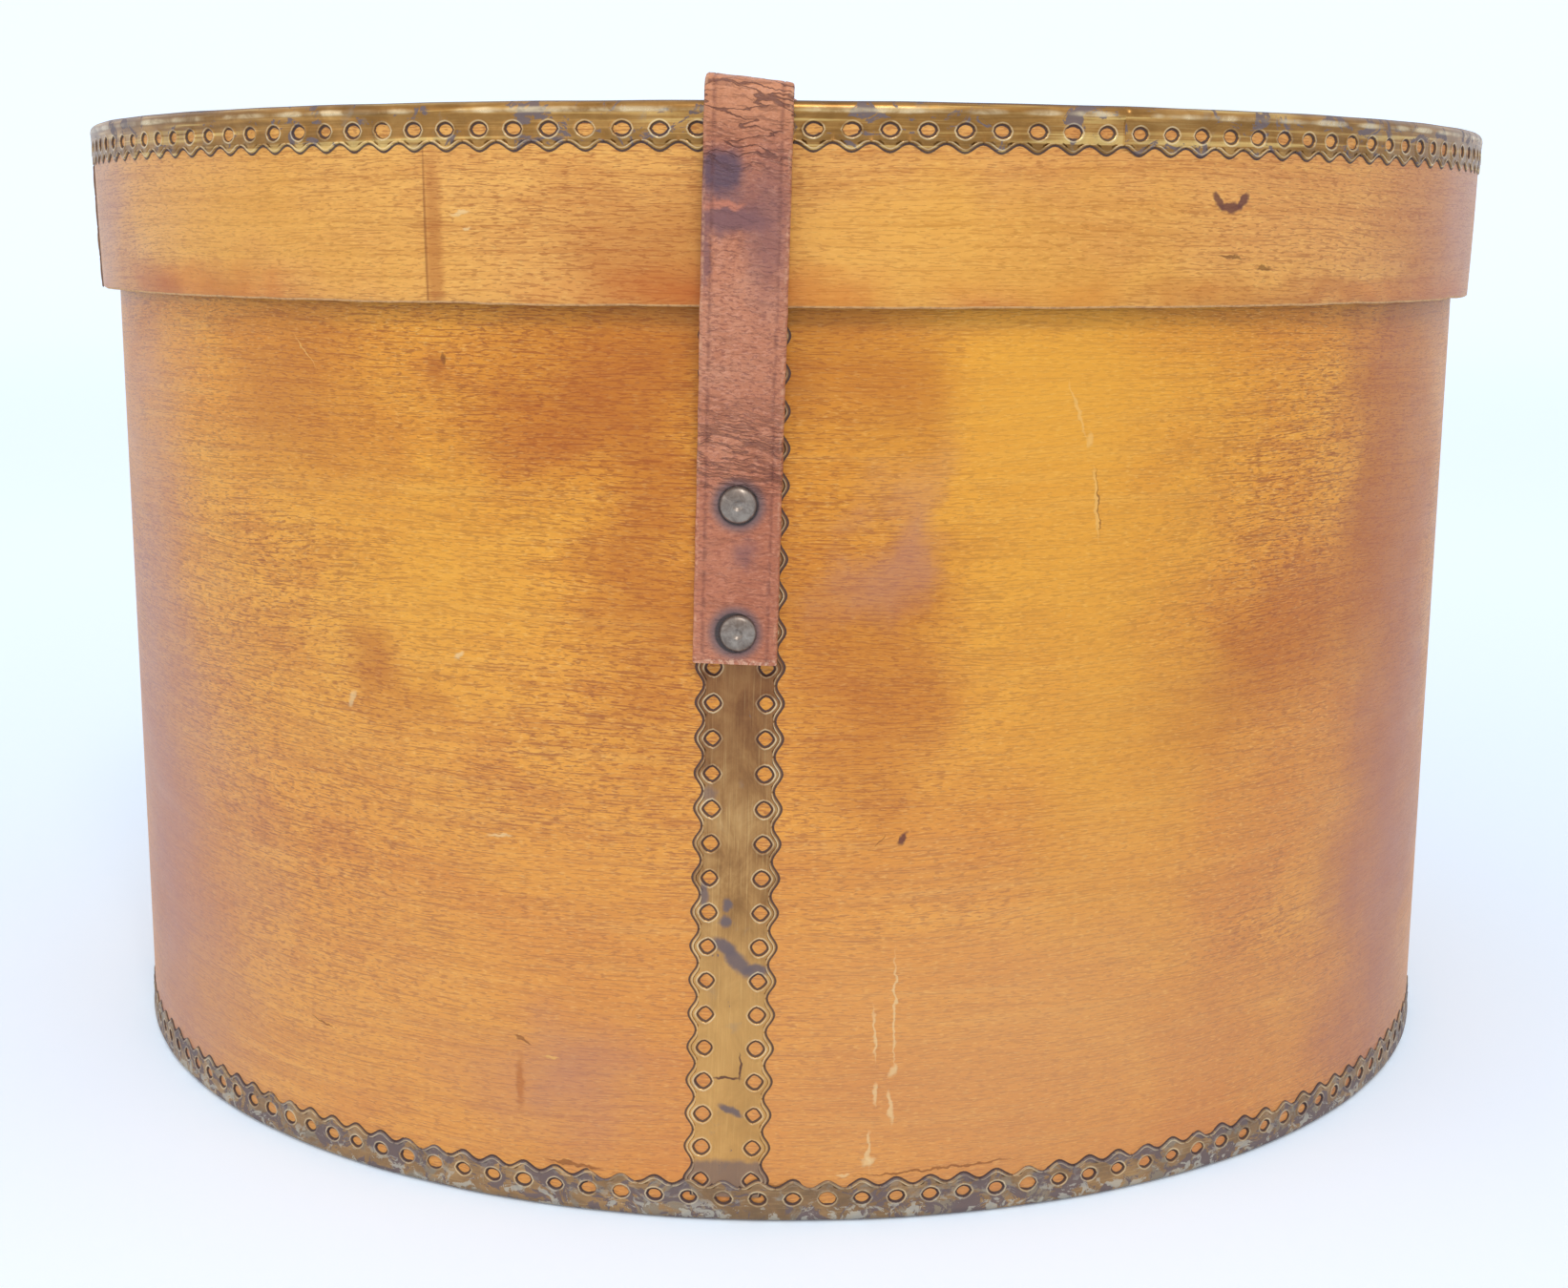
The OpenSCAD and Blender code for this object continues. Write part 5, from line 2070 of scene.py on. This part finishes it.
        self.lid_edge = PlyEdge("lid_ply_edge", lid_high.x - 2 * wall, lid_high.x).material()
        self.gold = AgedPlating("rim_plating", Plating.GOLD).material()
        self.strip = AgedPlating("strip_plating", Plating.STRIP, strip_stains).material()
        self.corroded = AgedPlating("foot_plating", Plating.CORRODED).material()
        self.rivet = PlainMetal("rivet_metal", srgb(112, 98, 88), srgb(156, 144, 132), 0.36).material()
        self.steel = PlainMetal("steel_pin", srgb(120, 114, 104), srgb(168, 162, 150), 0.4).material()
        self.brass = PlainMetal("buckle_brass", srgb(132, 98, 46), srgb(190, 150, 80), 0.3).material()

    def leather(self, strap: Strap) -> Material:
        """The leather of one strap half.

        Args:
            strap: The strap half.

        Returns:
            The material, with its stain, its cracks and the halos of its rivets in place.
        """
        lower, upper = strap.rivet_heights()
        plum = srgb(122, 78, 78)
        base = strap.end_z / MM - 0.8
        worn = (
            *stains(plum, (217 - base, 4.5, 26, 8, 0.6, 0, 0.8), (218.5 - base, -2.5, 5.5, 14, 0.85, 0, 0.5),
                    (221.5 - base, -4, 10, 12, 0.55, 0, 0.7)),
            *stains(srgb(86, 62, 76), (227.8 - base, -5, 9, 9.5, 0.9, 0, 0.45)),
            *stains(plum, (211 - base, -7.8, 12, 2.2, 0.7, 0, 0.6)),
            *stains(srgb(204, 122, 90), (221.6 - base, -4.4, 2.2, 8, 0.75)),
            *stains(plum, (150 - base, 1.5, 6, 5, 0.6, 20, 0.8)),
        )
        return WornLeather(
            f"{strap.label}_strap_leather", strap.width / 2, strap.lid_top + 3 * MM - strap.end_z,
            (lower - strap.end_z, upper - strap.end_z), worn if strap.facing < 0 else ()).material()


def dress(node: str, material: Material) -> None:
    """Give a CAD node a finish.

    Args:
        node: Name of the node.
        material: Its finish.
    """
    piece = frame["nodes"][node]
    piece.data.materials.clear()
    piece.data.materials.append(material)
    LOG.info("%s keeps its solid, with %s", node, material.name)


@dataclass
class Body:
    """The box below the lid: wall, base board, seam strip, foot band and rivets.

    Attributes:
        finishes: The finishes of the whole box.
        band_start: Azimuth at which the foot band's ends meet, in degrees.
        strip_foot: How far the strip reaches below the foot of its solid.
        strip_top: How far it ends below the top of its solid.
        strip_lean: How far it slants to the left over its whole length.
    """

    finishes: Finishes
    band_start: float = -151.0
    strip_foot: float = 3.35 * MM
    strip_top: float = 6.5 * MM
    strip_lean: float = 3.4 * MM

    def build(self) -> None:
        """Make the body."""
        finishes, wall = self.finishes, BentWall("bent_body_wall", "body_wall", "box", seam=0.0)
        wall.build([finishes.body_ply, finishes.body_edge, finishes.raw])
        dress("base_disc", finishes.raw)
        dress("base_brads", finishes.steel)
        dress("front_rivet_washers", finishes.steel)
        dress("rear_rivet_washers", finishes.steel)
        strip_low, strip_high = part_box("body_seam_strip")
        strip_degrees = degrees(PunchedStock().width / wall.outer)
        FoldedBand("foot_band", "base_band", "box", wall.outer, wall.low, False, start=self.band_start,
                   seed=11, polish_and_highlight=0.0, humps=((0.0, strip_degrees),)).build(finishes.corroded)
        SeamStrip("body_strip", "body_seam_strip", "box", lambda z: np.full_like(z, wall.outer), 0.0,
                  strip_low.z - self.strip_foot, strip_high.z - self.strip_top, seed=3,
                  lean=self.strip_lean).build(finishes.strip)
        for facing, label in ((-1, "front"), (1, "rear")):
            for seed, which in enumerate(("upper", "lower")):
                WallRivet(f"{label}_rivet_{which}", facing, seed + 3.0 * facing).build(finishes.rivet)


@dataclass
class Lid:
    """The lid: wall, board, rim band and seam strip.

    Attributes:
        finishes: The finishes of the whole box.
        band_start: Azimuth at which the rim band's ends meet, in degrees.
        waver: How far the wall's lower edge wavers.
        taper: How much the wall's radius shrinks towards its lower edge.
    """

    finishes: Finishes
    band_start: float = 24.4
    waver: float = 0.35 * MM
    taper: float = 0.8 * MM

    def build(self) -> None:
        """Make the lid."""
        finishes = self.finishes
        wall = BentWall("bent_lid_wall", "lid_wall", "lid", seam=LID_SEAM, waver=self.waver, taper=self.taper)
        wall.build([finishes.lid_ply, finishes.lid_edge, finishes.raw])
        dress("lid_disc", finishes.board_ply)
        dress("lid_brads", finishes.steel)
        FoldedBand("rim_band", "lid_rim_band", "lid", wall.outer, wall.high, True, start=self.band_start,
                   seed=23).build(finishes.gold)
        strip_low, strip_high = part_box("lid_seam_strip")

        def radius(height: Array) -> Array:
            """Radius of the lid wall at a height."""
            share = np.clip((wall.high - height) / (wall.high - wall.low), 0, 1)
            return wall.outer - wall.taper * share ** 2

        SeamStrip("lid_strip", "lid_seam_strip", "lid", radius, LID_SEAM, strip_low.z, strip_high.z,
                  seed=5).build(finishes.strip)


@dataclass
class Straps:
    """Both halves of the leather strap, and the buckle on the rear one.

    Attributes:
        finishes: The finishes of the whole box.
        point: Length of the front half's pointed tip.
        holes: How many holes it has.
        hole_radius: Radius of a hole.
        hole_pitch: Distance between two holes.
        first_hole: Distance of the hole nearest the tip from the middle of the lid.
        chape: Thickness of the leather that is turned back round the buckle's bar.
        turn: Radius of its bend round the bar.
    """

    finishes: Finishes
    point: float = 11 * MM
    holes: int = 5
    hole_radius: float = 1.6 * MM
    hole_pitch: float = 15 * MM
    first_hole: float = 48 * MM
    chape: float = 1.6 * MM
    turn: float = 2.6 * MM
    front: Strap = field(init=False)
    rear: Strap = field(init=False)

    def __post_init__(self) -> None:
        """Read both halves from the frame."""
        slant = joint_value("front_strap_fold", "axis")
        skew = degrees(atan2(-slant[1], slant[0]))
        self.front = Strap("front", -1, skew=skew, lean=0.024, tilt=6.3, twist=5.0)
        self.rear = Strap("rear", 1, twist=2.0)

    def front_half(self) -> None:
        """Make the front half, with its pointed tip and its holes."""
        strap = self.front
        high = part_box("strap_front_run")[1]
        slant = radians(strap.skew)
        length = (high.y - strap.fold.y) / cos(slant) - strap.width / 10 * tan(slant)
        tip = abs(strap.fold.y) - length * cos(slant)
        middle = (abs(strap.fold.y) - 40 * MM + tip) / 2

        def pointed(left: float) -> float:
            """Share of the width at a distance left to the tip."""
            return 1.0 if left > self.point else 0.36 + 0.64 * sqrt(max(0, 1 - (1 - left / self.point) ** 2))

        ribbon = strap.ribbon([(middle, strap.run_z), (tip, strap.run_z)], lambda left: strap.thickness,
                              pointed, 3.0)
        holes = []
        direction = Vector((sin(slant), cos(slant), 0))
        hinge = Vector((0, strap.fold.y, 0))
        first = abs(strap.fold.y) + self.first_hole
        for index in range(self.holes):
            place = hinge + direction * (first - index * self.hole_pitch)
            holes.append(peg(Vector((place.x, place.y, strap.run_z)), self.hole_radius, 3 * strap.thickness))
        strap.lay(ribbon, self.finishes.leather(strap), holes)

    def rear_half(self) -> None:
        """Make the rear half, folded round the buckle's bar."""
        strap = self.rear
        bar = Vector(joint_value("buckle_turn", "pos_m"))
        rivets_low, rivets_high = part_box("chape_rivets")
        chape, turn = self.chape, self.turn
        under = rivets_low.z + 0.8 * MM + chape / 2
        upper = under + chape / 2 + strap.thickness / 2
        chape_end = rivets_high.y + 7 * MM
        loop = [(bar.y + turn * sin(angle), bar.z + turn * cos(angle))
                for angle in np.radians(np.linspace(0, -180, 9))]
        tail = [(chape_end + 30 * MM, strap.run_z), (chape_end + 12 * MM, strap.run_z + 0.2 * MM),
                (chape_end - 3 * MM, upper), (bar.y + 30 * MM, upper), (bar.y + 14 * MM, upper + 0.3 * MM)]
        tail += loop + [(bar.y + 8 * MM, under), (bar.y + 20 * MM, under), (chape_end - 4 * MM, under)]
        chape_length = chape_end - 4 * MM - bar.y + pi * turn

        def thin(left: float) -> float:
            """Thickness at a distance left to the end of the turned-back leather."""
            share = float(ease(np.array(left), chape_length - 2 * MM, chape_length + 14 * MM))
            return chape + (strap.thickness - chape) * share

        ribbon = strap.ribbon(tail, thin, lambda left: 1.0, 8.0)
        slot = block(Vector((0, bar.y + 1.5 * MM, bar.z)), Vector((4.6 * MM, 17 * MM, 9 * MM)))
        strap.lay(ribbon, self.finishes.leather(strap), [slot])

    def build(self) -> None:
        """Make the straps and the buckle."""
        self.front_half()
        self.rear_half()
        buckle = Buckle()
        buckle.frame_piece(self.finishes.brass)
        buckle.prong_piece(self.finishes.brass)
        buckle.keeper_piece(self.finishes.leather(self.rear))
        buckle.rivet_piece(self.finishes.rivet)


# ------------------------------------------------------------------ studio


@dataclass
class Studio:
    """A pale floor, soft light all round with lamps above and on the left, and the camera."""

    turn: float = 3.0
    distance: float = 0.6284
    height: float = 0.2163
    pitch: float = 10.85
    yaw: float = 0.117
    roll: float = -0.372
    offset: float = -0.00105
    lens: float = 49.17
    pale: Colour = srgb(243, 247, 255)
    floor_colour: Colour = srgb(230, 243, 255)

    def camera(self) -> None:
        """Place the camera just below the level of the lid, a little to the right of the seam."""
        data = bpy.data.cameras.new("camera")
        data.lens, data.sensor_width, data.sensor_fit = self.lens, 36, "HORIZONTAL"
        data.clip_start = 0.01
        yaw, pitch, roll = (radians(value) for value in (self.yaw, self.pitch, self.roll))
        right = Vector((cos(yaw), -sin(yaw), 0))
        ahead = Vector((sin(yaw), cos(yaw), 0))
        view = ahead * cos(pitch) - Vector((0, 0, sin(pitch)))
        up = ahead * sin(pitch) + Vector((0, 0, cos(pitch)))
        image_x = right * cos(roll) - up * sin(roll)
        image_y = right * sin(roll) + up * cos(roll)
        pose = Matrix((image_x, image_y, -view)).transposed().to_4x4()
        pose.translation = Vector((self.offset, -self.distance, self.height))
        piece = put("camera", data)
        piece.matrix_world = Matrix.Rotation(radians(self.turn), 4, "Z") @ pose
        bpy.context.scene.camera = piece

    def lamp(self, name: str, place: Vector, target: Vector, size: float, power: float,
             tint: Colour = (1, 1, 1)) -> None:
        """Add one soft square lamp.

        Args:
            name: Name of the lamp.
            place: Where it hangs.
            target: What it faces.
            size: Length of its sides.
            power: Its power in watts.
            tint: Its colour.
        """
        data = bpy.data.lights.new(name, "AREA")
        data.size, data.energy, data.color = size, power, tint
        piece = put(name, data)
        piece.location = place
        piece.rotation_euler = (target - place).to_track_quat("-Z", "Y").to_euler()

    def world(self) -> None:
        """Surround the box with pale light, plain white for the camera and for gloss."""
        world = bpy.data.worlds.new("studio")
        bpy.context.scene.world = world
        world.use_nodes = True
        tree = world.node_tree
        back = tree.nodes["Background"]
        back.inputs["Color"].default_value = (*self.pale, 1)
        path = tree.nodes.new("ShaderNodeLightPath")

        def most(first: Socket, second: Socket) -> Socket:
            """The greater of two values."""
            made = tree.nodes.new("ShaderNodeMath")
            made.operation = "MAXIMUM"
            tree.links.new(first, made.inputs[0])
            tree.links.new(second, made.inputs[1])
            return made.outputs[0]

        seen = most(path.outputs["Is Camera Ray"], path.outputs["Is Transmission Ray"])
        glossy = most(seen, path.outputs["Is Glossy Ray"])
        level = tree.nodes.new("ShaderNodeMapRange")
        level.inputs["To Min"].default_value = 0.78
        level.inputs["To Max"].default_value = 1.0
        tree.links.new(glossy, level.inputs["Value"])
        tree.links.new(level.outputs[0], back.inputs["Strength"])

    def floor(self) -> None:
        """Lay a pale floor that rises into a backdrop."""
        shade = Shader("studio_floor")
        path = shade.node("LightPath").outputs
        seen = shade.most(path["Is Camera Ray"], path["Is Glossy Ray"])
        shade.feed(shade.surface.inputs["Emission Color"], self.pale)
        side, back, _ = shade.split(shade.place())
        away = shade.length(shade.join(side, back))
        glow = shade.plus(shade.step(away, 0.1, 1.1, 0.19, 0.31), shade.step(away, 0.8, 4.4, 0, 0.12))
        shade.feed(shade.surface.inputs["Emission Strength"], shade.times(seen, glow))
        shade.colour = self.floor_colour
        material = shade.finish(0.9, Specular_IOR_Level=0.0)
        plan = MeshPlan()
        depth = np.concatenate([np.linspace(-15, 3, 10), 3 + 1.5 * np.sin(np.radians(np.arange(10, 91, 10)))])
        level = np.concatenate([np.zeros(10), 1.5 - 1.5 * np.cos(np.radians(np.arange(10, 91, 10)))])
        depth, level = np.append(depth, 4.5), np.append(level, 6.0)
        x, y = np.meshgrid(np.linspace(-12, 12, 13), depth, indexing="ij")
        z = np.repeat(level[None], 13, 0)
        start = plan.add(np.stack([x, y, z], -1), np.stack([x, y], -1))
        plan.grid(start, 13, len(depth))
        floor = plan.build("studio_floor", [material])
        floor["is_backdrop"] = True

    def build(self) -> None:
        """Set up the studio."""
        scene = bpy.context.scene
        scene.view_settings.view_transform = "Standard"
        self.camera()
        self.world()
        self.floor()
        middle = Vector((0, 0, 0.12))
        self.lamp("lamp_above", Vector((0.25, -1.55, 1.65)), middle, 0.6, 15, (1.0, 0.98, 0.95))
        self.lamp("lamp_left", Vector((-1.9, -1.3, 0.9)), middle, 1.6, 5, (1.0, 0.99, 0.98))
        LOG.info("studio ready")


def corners(box: object) -> list[list[float]]:
    """A box's two corners as plain lists."""
    return [[float(number) for number in corner] for corner in box]


def main() -> None:
    """Build the box, its finishes and the studio, and work out the sizes of both models."""
    logging.basicConfig(level=logging.INFO, format="%(name)s: %(message)s")
    Studio().build()
    finishes = Finishes()
    Body(finishes).build()
    Lid(finishes).build()
    Straps(finishes).build()
    {"cad": corners(CAD_BOX), "visual": corners(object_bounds())}


if __name__ == "__main__":
    main()
